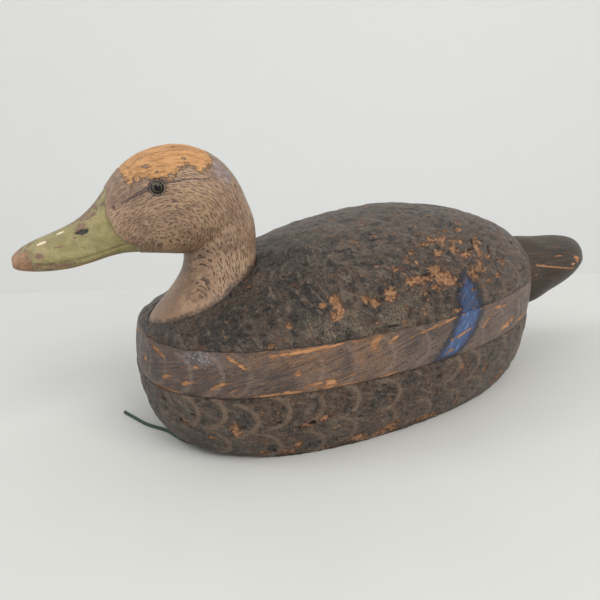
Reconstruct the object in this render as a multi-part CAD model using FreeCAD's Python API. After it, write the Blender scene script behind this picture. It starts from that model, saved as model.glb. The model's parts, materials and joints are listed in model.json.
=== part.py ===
"""Floating duck decoy: cork and pine body in three layers, inset pine tail, carved pine head.

Millimetres. +X runs forward to the bill, +Y to the duck's left and +Z up.
The origin is on the resting plane, midway between the bill's tip and the tail's end.
Each sub-part is written to parts/NODE.step.
"""

import FreeCAD, Part
import math
import os

V = FreeCAD.Vector
UP = V(0, 0, 1)
LEFT = V(0, 1, 0)
SIDES = {"left": 1, "right": -1}

# Driving dimensions of the body
LENGTH = 433.0
MID_LENGTH_X = 5.0      # stations are drawn from the hump; on export this one becomes the origin
BILL_TIP_X = MID_LENGTH_X + LENGTH / 2
TAIL_END_X = MID_LENGTH_X - LENGTH / 2
SEAM_LOW = 45.0         # lower cork block meets the centre board
BOARD = 26.0            # centre board's thickness
SEAM_HIGH = SEAM_LOW + BOARD
BACK_TOP = 131.0        # top of the back's hump
BREAST_X = 161.0
RUMP_X = -147.5
WIDEST_X = 28.0
HALF_WIDTH = 84.0
OUTLINE_POINTS = 28     # on each waterline
FRONT_FULLNESS = 2.5    # superellipse powers of the waterlines
REAR_FULLNESS = 1.95
TOE_START_X = 100.0     # the underside rises forward of here
TOE_SLOPE = 0.11

# Driving dimensions of the head
HEAD_BACK_X = 81.5
EYE_X, EYE_Z = 143.5, 158.5
EYE_RADIUS = 3.5
EYE_BACK_Y = 20.4       # plane of the glass's flat back
EYE_FRONT_Y = 24.2      # top of the glass's dome
PUTTY_MARGIN = 0.9      # putty round the glass
NECK_DOWEL_X, HEAD_SCREW_X = 121.5, 97.0

# Driving dimensions of the tail
TAIL_ROOT_X = -122.0
TONGUE_FRONT_X = -94.0
TONGUE_HALF_WIDTH = 22.0
TONGUE_THICKNESS = 13.0

# Anchor line and its tie under the breast
TIE_X = 118.0           # screw eye
TIE_AXIS_Z = 6.4        # the line's loop hangs from here
EYE_LOOP_RADIUS, EYE_WIRE_RADIUS = 4.5, 1.25
EYE_LOOP_Z = 8.0
SCREW_EYE_TIP_Z = 57.0
CORD_DIAMETER = 2.1
LOOP_RADIUS = 6.5       # the tied loop of line through the screw eye
LOOP_TILT = 20.0        # degrees below level, lying forward with the knot near the ground
KNOT_BEARING = 70.0     # degrees round the loop from straight ahead, towards the left
KNOT_RADIUS = 2.6
POCKET = dict(x=(97.0, 139.0), half_width=20.0, depth=15.5)


# ---------------------------------------------------------------- helpers
def box(x, y, z):
    """A block between two limits on each axis."""
    return Part.makeBox(x[1] - x[0], y[1] - y[0], z[1] - z[0], V(x[0], y[0], z[0]))


def rod(x, y, z, radius):
    """An upright cylinder between the two heights in z."""
    return Part.makeCylinder(radius, z[1] - z[0], V(x, y, z[0]), UP)


def power(value, exponent):
    """A sine or cosine raised to a power with its sign kept."""
    return math.copysign(abs(value) ** exponent, value)


def smooth_loop(points):
    curve = Part.BSplineCurve()
    curve.interpolate(Points=points, PeriodicFlag=True)
    return Part.Wire([curve.toShape()])


def export(name, shape):
    solids = shape.Solids
    whole = solids[0].copy() if len(solids) == 1 else Part.makeCompound(solids)
    whole.translate(V(-MID_LENGTH_X, 0, 0))
    whole.exportStep(f"parts/{name}.step")
    box_size = whole.BoundBox
    print(
        f"{name:20s} {len(solids)} solid(s)  {whole.Volume / 1000:8.2f} cm3  valid {whole.isValid()}"
        f"  x {box_size.XMin:.1f}..{box_size.XMax:.1f}  z {box_size.ZMin:.1f}..{box_size.ZMax:.1f}"
    )


# ---------------------------------------------------------------- body layers
def waterline(z, rump, breast, half_width, widest, front_fullness, rear_fullness):
    """A level outline of the body: two half superellipses that share the widest station."""
    points = []
    for i in range(OUTLINE_POINTS):
        angle = 2 * math.pi * i / OUTLINE_POINTS
        c, s = math.cos(angle), math.sin(angle)
        forward = c > 0
        full = front_fullness if forward else rear_fullness
        reach = breast - widest if forward else widest - rump
        points.append(V(widest + reach * power(c, 2 / full), half_width * power(s, 2 / full), z))
    return smooth_loop(points)


def side_waterline(z, inset_front=0.0, inset_side=0.0, inset_rear=0.0):
    return waterline(
        z, RUMP_X + inset_rear, BREAST_X - inset_front, HALF_WIDTH - inset_side, WIDEST_X,
        FRONT_FULLNESS, REAR_FULLNESS,
    )


def bottom_blank():
    """The lower cork block before it is hollowed: its sides draw in towards the flat underside."""
    sections = []
    for share in (0.0, 0.2, 0.45, 0.7, 1.0):
        draw = (1 - share) ** 2.6
        sections.append(side_waterline(SEAM_LOW * share, 16 * draw, 9 * draw, 4 + 13 * draw))
    return Part.makeLoft(sections, True)


def board_blank():
    return Part.makeLoft(
        [side_waterline(SEAM_LOW, 0, 0, 4), side_waterline(SEAM_LOW + BOARD / 2, 0.8, 0.6, 1.5),
         side_waterline(SEAM_HIGH, 3.4, 3, 0)],
        True,
    )


def back_blank():
    """The upper cork block: a hump that peaks behind the middle and slopes down to the breast."""
    # height, rump, breast, half width, widest station
    levels = [
        (SEAM_HIGH, RUMP_X, BREAST_X - 3.4, HALF_WIDTH - 3, WIDEST_X),
        (78, -146, 147.5, 79.5, 26),
        (86, -141, 128, 77, 20),
        (96, -132, 110, 72.5, 10),
        (106, -119, 91, 65, 0),
        (116, -99, 67, 53.5, -8),
        (124, -74, 38, 38, -14),
        (129, -48, 10, 21, -17),
    ]
    sections = []
    for z, rump, breast, half_width, widest in levels:
        share = (z - SEAM_HIGH) / (BACK_TOP - SEAM_HIGH)
        front = FRONT_FULLNESS + (2.0 - FRONT_FULLNESS) * share
        sections.append(waterline(z, rump, breast, half_width, widest, front, REAR_FULLNESS))
    sections.append(Part.Vertex(V(-19, 0, BACK_TOP)))
    return Part.makeLoft(sections, True)


# ---------------------------------------------------------------- head, neck and bill
def upright_section(x, half_width, top, bottom, middle, upper_power, lower_power):
    """A closed outline across the head or bill at station x; it is widest at height middle."""
    count = 20
    points = []
    for i in range(count):
        angle = 2 * math.pi * i / count
        c, s = math.cos(angle), math.sin(angle)
        p = upper_power if s > 0 else lower_power
        rise = top - middle if s > 0 else middle - bottom
        points.append(V(x, half_width * power(c, 2 / p), middle + rise * power(s, 2 / p)))
    return smooth_loop(points)


def head_and_bill():
    # station, half width, top, bottom, height of the widest line, upper power, lower power
    stations = [
        (BILL_TIP_X, 6.0, 124.6, 119.6, 121.8, 2.0, 2.0),
        (218.6, 11.6, 127.6, 118.2, 121.8, 2.0, 2.2),
        (210, 16.4, 132.2, 117.0, 121.8, 2.0, 2.4),
        (197, 17.6, 136.8, 116.6, 122.0, 2.0, 2.6),
        (184, 16.6, 143.2, 117.4, 123.5, 1.9, 2.6),
        (173, 16.2, 153.2, 119.2, 127.5, 1.9, 2.5),
        (163, 18.6, 165.4, 120.2, 134.5, 2.0, 2.4),
        (152, 22.4, 174.2, 119.6, 141.5, 2.1, 2.4),
        (139, 25.4, 179.0, 117.6, 145.0, 2.2, 2.3),
        (125, 26.4, 180.4, 115.4, 146.5, 2.2, 2.2),
        (111, 25.4, 176.6, 114.0, 145.0, 2.1, 2.1),
        (99, 22.0, 168.4, 114.0, 141.0, 2.0, 2.0),
        (89.5, 15.5, 154.6, 117.0, 135.5, 2.0, 2.0),
        (HEAD_BACK_X + 2, 7.5, 141.4, 122.0, 131.5, 2.0, 2.0),
    ]
    return Part.makeLoft([upright_section(*s) for s in stations], True)


def neck():
    # height, back, front, half width
    levels = [
        (SEAM_HIGH, 85.0, 154.5, 31.0),
        (79, 85.0, 149.0, 30.5),
        (88, 84.5, 140.5, 28.5),
        (97, 84.0, 132.8, 26.0),
        (106, 83.0, 127.6, 24.0),
        (116, 82.1, 126.4, 23.0),
        (128, 81.8, 129.5, 23.2),
        (142, 85.0, 134.0, 22.0),
        (152, 91.5, 131.0, 18.0),
    ]
    sections = []
    for z, back, front, half_width in levels:
        sections.append(waterline(z, back, front, half_width, (back + front) / 2 - 3, 2.1, 2.3))
    return Part.makeLoft(sections, True)


def nostril(side):
    """A shallow slot with round ends in the side of the bill."""
    middle = V(184.5, SIDES[side] * 12.6, 137.0)
    along = V(0.86, SIDES[side] * 0.10, -0.5).normalize()
    slot = Part.makeCylinder(1.3, 6.4, middle - along * 3.2, along)
    return slot.fuse([Part.makeSphere(1.3, middle + along * 3.2 * end) for end in (-1, 1)])


def head_blank():
    return head_and_bill().fuse(neck()).removeSplitter()


# ---------------------------------------------------------------- tail
def tail_section(x, half_width, top, edge, bottom):
    """Two arcs that meet at a crease on each side."""
    port, starboard = V(x, half_width, edge), V(x, -half_width, edge)
    return Part.Wire([
        Part.Arc(port, V(x, 0, top), starboard).toShape(),
        Part.Arc(starboard, V(x, 0, bottom), port).toShape(),
    ])


def tail_blade():
    # station, half width, top, crease height, bottom
    stations = [
        (TAIL_ROOT_X, 29.0, 95.0, 75.5, 35.5),
        (-145, 30.0, 93.2, 74.5, 37.5),
        (-165, 30.0, 91.4, 72.0, 42.0),
        (-182, 28.2, 90.2, 70.5, 47.5),
        (-195, 24.0, 88.9, 70.5, 53.0),
        (-203, 18.8, 87.2, 71.2, 57.8),
        (-208.6, 12.4, 84.6, 72.4, 62.2),
        (TAIL_END_X, 6.0, 80.6, 73.6, 66.4),
    ]
    return Part.makeLoft([tail_section(*s) for s in stations], True)


def tail_tongue():
    return box(
        (TAIL_ROOT_X - 2, TONGUE_FRONT_X), (-TONGUE_HALF_WIDTH, TONGUE_HALF_WIDTH),
        (SEAM_HIGH - TONGUE_THICKNESS, SEAM_HIGH),
    )


# ---------------------------------------------------------------- fastenings
SCREW_SLOT_DEPTH = 0.7


def wood_screw(x, y, head_z, tip_z, radius, head_radius):
    """A round-head wood screw with a slotted head and a pointed tip, driven towards tip_z."""
    length = abs(tip_z - head_z)
    point = 2.5 * radius
    shank = Part.makeCylinder(radius, length - point)
    tip = Part.makeCone(radius, 0.3, point, V(0, 0, length - point))
    ball = Part.makeSphere(head_radius * 1.25, V(0, 0, head_radius * 0.75))
    dome = ball.common(Part.makeCylinder(head_radius * 2, head_radius * 2, V(0, 0, 0), UP * -1))
    low = dome.BoundBox.ZMin
    slot = box((-2 * head_radius, 2 * head_radius), (-0.5, 0.5), (low - 1, low + SCREW_SLOT_DEPTH))
    screw = shank.fuse([tip, dome]).removeSplitter().cut(slot)
    if tip_z < head_z:
        screw.rotate(V(0, 0, 0), V(1, 0, 0), 180)
    screw.translate(V(x, y, head_z))
    return screw


def lag_screw(x, head_z, tip_z, radius, across_flats, head_height):
    """A hexagon-head lag screw that points up."""
    corner = across_flats / 2 / math.cos(math.pi / 6)
    corners = [
        V(x + corner * math.cos(i * math.pi / 3), corner * math.sin(i * math.pi / 3), head_z - head_height)
        for i in range(7)
    ]
    head = Part.Face(Part.makePolygon(corners)).extrude(UP * head_height)
    point = 2.5 * radius
    shank = rod(x, 0, (head_z, tip_z - point), radius)
    tip = Part.makeCone(radius, 0.4, point, V(x, 0, tip_z - point), UP)
    return head.fuse([shank, tip]).removeSplitter()


def washer(x, y, z, outer, inner, thickness):
    return rod(x, y, (z, z + thickness), outer).cut(rod(x, y, (z - 1, z + thickness + 1), inner))


BOTTOM_SCREW_SPOTS = [(x, y) for x in (72.0, -84.0) for y in (-36.0, 36.0)]
BOTTOM_SCREW = dict(radius=2.1, head_radius=4.0, seat_z=9.0, tip_z=64.0, washer_radius=9.0, washer=1.2)
BACK_DOWEL_SPOTS = [(48.0, 0.0), (-35.0, 26.0), (-35.0, -26.0)]
BACK_DOWEL = dict(radius=5.0, foot_z=56.0, top_z=104.0)
NECK_DOWEL = dict(radius=5.0, foot_z=60.0, top_z=99.0)
HEAD_SCREW = dict(radius=3.2, across=11.0, head=4.5, washer_radius=10.0, washer=1.5, bore_radius=12.0,
                  seat_z=53.0, tip_z=118.0)
TAIL_SCREW_SPOTS = [(-106.0, -11.0), (-106.0, 11.0)]
TAIL_SCREW = dict(radius=1.9, head_radius=3.6, tip_z=49.0, head_room=4.0)
BALLAST = dict(x=(-58.0, 34.0), half_width=16.0, height=9.0)
BALLAST_SCREW_SPOTS = [(-42.0, 0.0), (18.0, 0.0)]
BALLAST_SCREW = dict(radius=2.1, head_radius=3.6, seat_z=3.0, tip_z=62.0)


def neck_dowel():
    return rod(NECK_DOWEL_X, 0, (NECK_DOWEL["foot_z"], NECK_DOWEL["top_z"]), NECK_DOWEL["radius"])


def head_screw():
    s = HEAD_SCREW
    return lag_screw(HEAD_SCREW_X, s["seat_z"] - s["washer"], s["tip_z"], s["radius"], s["across"], s["head"])


def head_screw_washer():
    s = HEAD_SCREW
    return washer(HEAD_SCREW_X, 0, s["seat_z"] - s["washer"], s["washer_radius"], s["radius"], s["washer"])


def head_screw_seat():
    s = HEAD_SCREW
    return rod(HEAD_SCREW_X, 0, (SEAM_LOW - 1, s["seat_z"]), s["bore_radius"])


def back_dowels():
    d = BACK_DOWEL
    return [rod(x, y, (d["foot_z"], d["top_z"]), d["radius"]) for x, y in BACK_DOWEL_SPOTS]


def bottom_screws():
    s = BOTTOM_SCREW
    head_z = s["seat_z"] - s["washer"]
    return [
        wood_screw(x, y, head_z, s["tip_z"], s["radius"], s["head_radius"])
        for x, y in BOTTOM_SCREW_SPOTS
    ]


def bottom_washers():
    s = BOTTOM_SCREW
    z = s["seat_z"] - s["washer"]
    return [washer(x, y, z, s["washer_radius"], s["radius"], s["washer"]) for x, y in BOTTOM_SCREW_SPOTS]


def bottom_counterbores():
    s = BOTTOM_SCREW
    return [rod(x, y, (-1, s["seat_z"]), s["washer_radius"] + 0.5) for x, y in BOTTOM_SCREW_SPOTS]


def tail_screws():
    s = TAIL_SCREW
    return [
        wood_screw(x, y, SEAM_HIGH, s["tip_z"], s["radius"], s["head_radius"])
        for x, y in TAIL_SCREW_SPOTS
    ]


def tail_screw_head_rooms():
    """Shallow holes in the cork that clear the tail screws' heads."""
    s = TAIL_SCREW
    return [
        rod(x, y, (SEAM_HIGH - 1, SEAM_HIGH + s["head_room"]), s["head_radius"] + 0.5)
        for x, y in TAIL_SCREW_SPOTS
    ]


def ballast_block():
    b = BALLAST
    block = box(b["x"], (-b["half_width"], b["half_width"]), (0, b["height"]))
    uprights = [e for e in block.Edges if abs(e.tangentAt(e.FirstParameter).z) > 0.9]
    return block.makeFillet(5, uprights)


def ballast_screws():
    s = BALLAST_SCREW
    return [
        wood_screw(x, y, s["seat_z"], s["tip_z"], s["radius"], s["head_radius"])
        for x, y in BALLAST_SCREW_SPOTS
    ]


def ballast_counterbores():
    s = BALLAST_SCREW
    return [rod(x, y, (-1, s["seat_z"]), s["head_radius"] + 1.0) for x, y in BALLAST_SCREW_SPOTS]


# ---------------------------------------------------------------- eyes
def eye_rod(side, inner_y, outer_y, radius):
    way = SIDES[side]
    return Part.makeCylinder(radius, outer_y - inner_y, V(EYE_X, way * inner_y, EYE_Z), LEFT * way)


def eye_glass(side):
    """A plano-convex glass dome with a shallow pocket at the back for the pupil."""
    way = SIDES[side]
    rise = EYE_FRONT_Y - EYE_BACK_Y
    rim = 1.0
    cap = rise - rim
    ball_radius = (EYE_RADIUS ** 2 + cap ** 2) / (2 * cap)
    ball = Part.makeSphere(ball_radius, V(EYE_X, way * (EYE_FRONT_Y - ball_radius), EYE_Z))
    dome = ball.common(eye_rod(side, EYE_BACK_Y, EYE_FRONT_Y + 1, EYE_RADIUS))
    return dome.cut(eye_pupil(side))


def eye_pupil(side):
    return eye_rod(side, EYE_BACK_Y, EYE_BACK_Y + 0.4, 1.9)


def eye_iris(side):
    return eye_rod(side, EYE_BACK_Y - 0.5, EYE_BACK_Y, EYE_RADIUS - 0.1)


def eye_wire(side):
    return eye_rod(side, 9.0, EYE_BACK_Y - 0.5, 0.6)


def eye_putty(side):
    """A bed of putty that fills the socket behind and around the glass, dressed to the head's surface."""
    bed = eye_socket(side).cut(eye_rod(side, EYE_BACK_Y - 0.5, EYE_BACK_Y + 7, EYE_RADIUS))
    return bed.cut(eye_wire(side))


def eye_socket(side):
    return eye_rod(side, EYE_BACK_Y - 3, EYE_BACK_Y + 7, EYE_RADIUS + PUTTY_MARGIN)


# ---------------------------------------------------------------- line tie and anchor line
def screw_eye():
    loop = Part.makeTorus(EYE_LOOP_RADIUS, EYE_WIRE_RADIUS, V(TIE_X, 0, EYE_LOOP_Z), LEFT)
    foot = EYE_LOOP_Z + EYE_LOOP_RADIUS
    shank = rod(TIE_X, 0, (foot, SCREW_EYE_TIP_Z - 4), 1.6)
    tip = Part.makeCone(1.6, 0.3, 4, V(TIE_X, 0, SCREW_EYE_TIP_Z - 4), UP)
    return loop.fuse([shank, tip]).removeSplitter()


def tilted(x, y):
    """A point on the loop's plane, x forward of the hinge and y to the left."""
    tilt = math.radians(LOOP_TILT)
    return V(TIE_X + x * math.cos(tilt), y, TIE_AXIS_Z - x * math.sin(tilt))


KNOT_CENTRE = tilted(
    LOOP_RADIUS + LOOP_RADIUS * math.cos(math.radians(KNOT_BEARING)),
    LOOP_RADIUS * math.sin(math.radians(KNOT_BEARING)),
)


def line_loop():
    """The line's end tied in a loop through the screw eye."""
    tilt = math.radians(LOOP_TILT)
    square_on = V(math.sin(tilt), 0, math.cos(tilt))
    return Part.makeTorus(LOOP_RADIUS, CORD_DIAMETER / 2, tilted(LOOP_RADIUS, 0), square_on)


def line_knot():
    """The knot that closes the loop, as one rounded lump with the loop's line through it."""
    return Part.makeSphere(KNOT_RADIUS, KNOT_CENTRE).cut(line_loop())


# The line's route over the ground, from the knot, round under the breast and out to its free end
CORD_Z = CORD_DIAMETER / 2
CORD_ROUTE = [
    V(126.4, 8.4, 2.5),
    V(126.3, 16.6, CORD_Z + 0.1),
    V(127.4, 24.4, CORD_Z),
    V(132.3, 29.2, CORD_Z),
    V(139.4, 28.2, CORD_Z),
    V(145.4, 17.6, CORD_Z),
    V(149.4, 4.6, CORD_Z),
    V(156.6, -5.0, CORD_Z),
    V(161.0, -11.8, CORD_Z),
    V(165.4, -23.4, CORD_Z),
    V(169.6, -33.2, CORD_Z),
]


def bent_path(points, share=0.45):
    """Straight runs joined by tangent arcs; each arc is as large as its two runs allow."""
    edges = []
    radii = []
    start = points[0]
    for before, corner, after in zip(points, points[1:], points[2:]):
        back, on = before - corner, after - corner
        reach = share * min(back.Length, on.Length)
        half_turn = (math.pi - back.getAngle(on)) / 2
        radii.append(reach / math.tan(half_turn))
        back.normalize()
        on.normalize()
        enter, leave = corner + back * reach, corner + on * reach
        bisector = back + on
        bisector.normalize()
        sagitta_point = corner + bisector * (radii[-1] / math.cos(half_turn) - radii[-1])
        edges.append(Part.LineSegment(start, enter).toShape())
        edges.append(Part.Arc(enter, sagitta_point, leave).toShape())
        start = leave
    edges.append(Part.LineSegment(start, points[-1]).toShape())
    return Part.Wire(edges), radii


def anchor_line():
    path, radii = bent_path(CORD_ROUTE)
    section = Part.Circle(CORD_ROUTE[0], CORD_ROUTE[1] - CORD_ROUTE[0], CORD_DIAMETER / 2)
    circle = Part.Wire([section.toShape()])
    tube = path.makePipeShell([circle], True, False)
    expected = math.pi * (CORD_DIAMETER / 2) ** 2 * path.Length
    print("anchor line radii", [round(r, 1) for r in radii], "length", round(path.Length, 1),
          "volume share", round(tube.Volume / expected, 4))
    return tube.cut(Part.makeSphere(KNOT_RADIUS, KNOT_CENTRE))


def anchor_line_end():
    """The melted button at the line's free end."""
    last, previous = CORD_ROUTE[-1], CORD_ROUTE[-2]
    way = last - previous
    way.normalize()
    button = Part.makeCylinder(CORD_DIAMETER / 2 + 0.15, 1.6, last + V(0, 0, 0.15), way)
    return button.makeFillet(0.6, [button.Edges[0], button.Edges[2]])


def tie_pocket():
    """The recess under the breast that houses the screw eye and the tied loop."""
    p = POCKET
    pocket = box(p["x"], (-p["half_width"], p["half_width"]), (-1, p["depth"]))
    uprights = [e for e in pocket.Edges if abs(e.tangentAt(e.FirstParameter).z) > 0.9]
    return pocket.makeFillet(6, uprights)


def toe_wedge():
    """What is pared off the underside towards the breast, so that the line can run out."""
    run = 90.0
    profile = Part.makePolygon([
        V(TOE_START_X, -100, 0), V(TOE_START_X + run, -100, run * TOE_SLOPE),
        V(TOE_START_X + run, -100, -5), V(TOE_START_X, -100, -5), V(TOE_START_X, -100, 0),
    ])
    return Part.Face(profile).extrude(LEFT * 200)


# ---------------------------------------------------------------- assembly
def build():
    os.makedirs("parts", exist_ok=True)
    head_stock, blade, tongue = head_blank(), tail_blade(), tail_tongue()
    tie = screw_eye()
    screws, dowels = bottom_screws(), back_dowels()
    lag, peg = head_screw(), neck_dowel()
    ballast, ballast_pins = ballast_block(), ballast_screws()

    bottom = bottom_blank().cut([blade, toe_wedge(), tie_pocket(), tie, ballast, *ballast_pins,
                                 *screws, *bottom_counterbores()])
    board = board_blank().cut([blade, tongue, tie, peg, lag, head_screw_seat(), *screws, *dowels,
                               *ballast_pins, *tail_screws()])
    back = back_blank().cut([head_stock, blade, *dowels, *tail_screw_head_rooms()])
    export("cork_bottom", bottom)
    export("centre_board", board)
    export("cork_back", back)

    sockets = [eye_socket(side) for side in SIDES]
    wires = [eye_wire(side) for side in SIDES]
    nostrils = [nostril(side) for side in SIDES]
    export("head", head_stock.cut([peg, lag, *sockets, *wires, *nostrils]))
    export("tail", blade.fuse(tongue).removeSplitter().cut(tail_screws()))
    for side in SIDES:
        export(f"{side}_eye_glass", eye_glass(side))
        export(f"{side}_eye_pupil", eye_pupil(side))
        export(f"{side}_eye_iris", eye_iris(side))
        export(f"{side}_eye_wire", eye_wire(side))
        export(f"{side}_eye_putty", eye_putty(side).common(head_stock))

    export("neck_dowel", peg)
    export("head_screw", lag)
    export("head_screw_washer", head_screw_washer())
    export("back_dowels", Part.makeCompound(dowels))
    export("bottom_screws", Part.makeCompound(screws))
    export("bottom_washers", Part.makeCompound(bottom_washers()))
    export("tail_screws", Part.makeCompound(tail_screws()))
    drilled = ballast.cut([*ballast_counterbores(), *ballast_pins])
    export("ballast_weight", drilled)
    export("ballast_screws", Part.makeCompound(ballast_pins))

    export("screw_eye", tie)
    export("line_loop", line_loop())
    export("line_knot", line_knot())
    export("anchor_line", anchor_line())
    export("anchor_line_end", anchor_line_end())


build()
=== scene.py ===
# %% [markdown]
# # A working duck decoy, finished in Blender
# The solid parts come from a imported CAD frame: three layers of cork and pine, a pine head and an
# inset tail. This lesson gives each part its carved, painted and worn surface.
# Everything is in metres, +X to the bill, +Y to the duck's left, +Z up.

import json
import math

import bpy
import numpy as np
from mathutils import Matrix, Vector
from mathutils.kdtree import KDTree

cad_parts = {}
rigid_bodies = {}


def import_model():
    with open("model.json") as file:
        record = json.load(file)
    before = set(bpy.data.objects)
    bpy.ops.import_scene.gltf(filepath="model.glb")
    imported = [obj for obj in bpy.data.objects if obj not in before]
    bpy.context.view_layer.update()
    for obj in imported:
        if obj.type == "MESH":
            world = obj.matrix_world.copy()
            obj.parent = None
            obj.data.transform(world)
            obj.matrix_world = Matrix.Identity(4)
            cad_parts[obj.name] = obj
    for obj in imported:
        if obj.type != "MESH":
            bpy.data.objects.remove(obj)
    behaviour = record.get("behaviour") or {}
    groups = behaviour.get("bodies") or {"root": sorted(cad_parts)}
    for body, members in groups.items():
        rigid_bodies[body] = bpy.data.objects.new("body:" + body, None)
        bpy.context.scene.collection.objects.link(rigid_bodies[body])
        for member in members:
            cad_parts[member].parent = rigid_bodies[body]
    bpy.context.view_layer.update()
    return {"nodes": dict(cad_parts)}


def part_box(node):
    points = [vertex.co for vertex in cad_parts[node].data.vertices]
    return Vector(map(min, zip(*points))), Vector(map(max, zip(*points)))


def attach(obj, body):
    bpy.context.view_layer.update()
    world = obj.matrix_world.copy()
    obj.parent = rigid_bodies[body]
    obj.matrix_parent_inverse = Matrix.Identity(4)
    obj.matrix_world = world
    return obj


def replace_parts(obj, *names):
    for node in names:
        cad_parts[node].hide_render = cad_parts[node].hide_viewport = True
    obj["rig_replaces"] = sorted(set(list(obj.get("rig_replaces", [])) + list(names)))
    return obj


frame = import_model()
MM = 0.001

# %% [markdown]
# ## Camera
# A duck on a table is seen from a little above and ahead of its left side, from close by, so the
# head looms larger than the tail. A short distance with a modest wide lens gives that; a long lens
# would flatten it. The camera looks at a point inside the breast and is rolled by a small angle.

# %% Camera
CAMERA_PIVOT = Vector((1.0, 0.0, 60.0)) * MM
CAMERA_AIM = Vector((44.4, 0.0, 72.1)) * MM
AZIMUTH, ELEVATION, ROLL = (math.radians(a) for a in (149.5, 18.5, -1.9))
CAMERA_DISTANCE = 426 * MM
LENS = 35.13

towards_camera = Vector((
    math.sin(AZIMUTH) * math.cos(ELEVATION),
    -math.cos(AZIMUTH) * math.cos(ELEVATION),
    math.sin(ELEVATION),
))
camera = bpy.data.objects.new("camera", bpy.data.cameras.new("camera"))
bpy.context.scene.collection.objects.link(camera)
camera.location = CAMERA_PIVOT + towards_camera * CAMERA_DISTANCE
forward = (CAMERA_AIM - camera.location).normalized()
camera.rotation_mode = "QUATERNION"
camera.rotation_quaternion = forward.to_track_quat("-Z", "Y") @ Matrix.Rotation(ROLL, 4, "Z").to_quaternion(
)
camera.data.lens = LENS
camera.data.clip_start = 0.01
bpy.context.scene.camera = camera
print("camera at", [round(v, 4) for v in camera.location])

# %% [markdown]
# ## Anchor line
# A thin braided line is tied to a screw eye under the breast, runs round on the table and comes out
# in front of the breast, where its cut end has been melted to stop it fraying. A NURBS spline lies
# in loose curves without kinks, so the route is a few listed points.
# The braid itself is a tube made round that smooth line, whose surface rises and falls where the
# strands cross, because a plain round tube would look like wire.

# %% The line's route
LINE_DIAMETER = 2.1 * MM
LINE_ROUTE_MM = [
    (121.4, 8.4, 2.5), (121.3, 16.6, 1.15), (122.4, 24.4, 1.05), (127.3, 29.2, 1.05),
    (134.4, 28.2, 1.05), (140.4, 17.6, 1.05), (144.4, 4.6, 1.05), (151.6, -5.0, 1.05),
    (156.0, -11.8, 1.05), (160.4, -23.4, 1.05), (164.6, -33.2, 1.05),
]


def spline_points(route, closed=False):
    """The smooth line through a route's control points, as points read from a NURBS spline."""
    curve = bpy.data.curves.new("route", "CURVE")
    curve.dimensions = "3D"
    spline = curve.splines.new("NURBS")
    spline.points.add(len(route) - 1)
    for point, place in zip(spline.points, route):
        point.co = (*[c * MM for c in place], 1.0)
    spline.order_u = 3
    spline.use_endpoint_u = not closed
    spline.use_cyclic_u = closed
    spline.resolution_u = 24
    holder = bpy.data.objects.new("route", curve)
    bpy.context.scene.collection.objects.link(holder)
    line = bpy.data.meshes.new_from_object(holder)
    points = np.array([v.co[:] for v in line.vertices])
    bpy.data.objects.remove(holder)
    bpy.data.curves.remove(curve)
    bpy.data.meshes.remove(line)
    return points


line_path = spline_points(LINE_ROUTE_MM)
line_length = float(np.linalg.norm(np.diff(line_path, axis=0), axis=1).sum())
print("anchor line", round(line_length / MM, 1), "mm in", len(line_path), "points")


# %% Braided tube
def even_steps(points, step, closed=False):
    """The same line with its points evenly spaced."""
    if closed:
        points = np.vstack([points, points[:1]])
    along = np.concatenate([[0], np.cumsum(np.linalg.norm(np.diff(points, axis=0), axis=1))])
    count = max(3, int(round(along[-1] / step)))
    where = np.linspace(0, along[-1], count, endpoint=not closed)
    return np.stack([np.interp(where, along, points[:, k]) for k in range(3)], 1), where


def new_piece(name, verts, faces, body):
    """A smooth-shaded mesh object that rides on a body of the frame."""
    mesh = bpy.data.meshes.new(name)
    mesh.from_pydata([tuple(v) for v in verts], [], [tuple(f) for f in faces])
    mesh.validate()
    mesh.shade_smooth()
    piece = bpy.data.objects.new(name, mesh)
    bpy.context.scene.collection.objects.link(piece)
    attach(piece, body)
    return piece


def braided_tube(name, points, diameter, body, closed=False, strands=4, pitch=3.2 * MM):
    """A tube round a line, with the crossing strands of a braid standing out of its surface."""
    ROUND = 16
    line, where = even_steps(points, 0.3 * MM, closed)
    ahead = np.roll(line, -1, 0) - np.roll(line, 1, 0)
    if not closed:
        ahead[0], ahead[-1] = line[1] - line[0], line[-1] - line[-2]
    ahead /= np.linalg.norm(ahead, axis=1)[:, None]
    side = np.cross(ahead, (0.0, 0.0, 1.0))
    side /= np.linalg.norm(side, axis=1)[:, None]
    above = np.cross(side, ahead)
    turn = np.linspace(0, 2 * np.pi, ROUND, endpoint=False)
    twist = 2 * np.pi * where[:, None] / pitch
    over = np.maximum(np.sin(strands * turn + twist), np.sin(strands * turn - twist))
    radius = diameter / 2 * (0.93 + 0.07 * over)
    ring = side[:, None] * np.cos(turn)[:, None] + above[:, None] * np.sin(turn)[:, None]
    verts = (line[:, None] + radius[..., None] * ring).reshape(-1, 3)
    count = len(line)
    faces = []
    for i in range(count if closed else count - 1):
        a, b = i * ROUND, (i + 1) % count * ROUND
        for j in range(ROUND):
            k = (j + 1) % ROUND
            faces.append((a + j, a + k, b + k, b + j))
    if not closed:
        faces += [tuple(range(ROUND)), tuple(reversed(range((count - 1) * ROUND, count * ROUND)))]
    return new_piece(name, verts, faces, body)


anchor_line = braided_tube("braided_anchor_line", line_path, LINE_DIAMETER, "line_tie")
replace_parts(anchor_line, "anchor_line")
print("braid has", len(anchor_line.data.polygons), "faces")

# %% [markdown]
# ## Loop and knot
# The line's end is passed through the screw eye and knotted. The loop is a closed ring of the same
# braid. An overhand knot is a trefoil, which two sines and a cosine draw, so the knot is the same
# braid along a small trefoil squeezed into the CAD knot's size.

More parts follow.
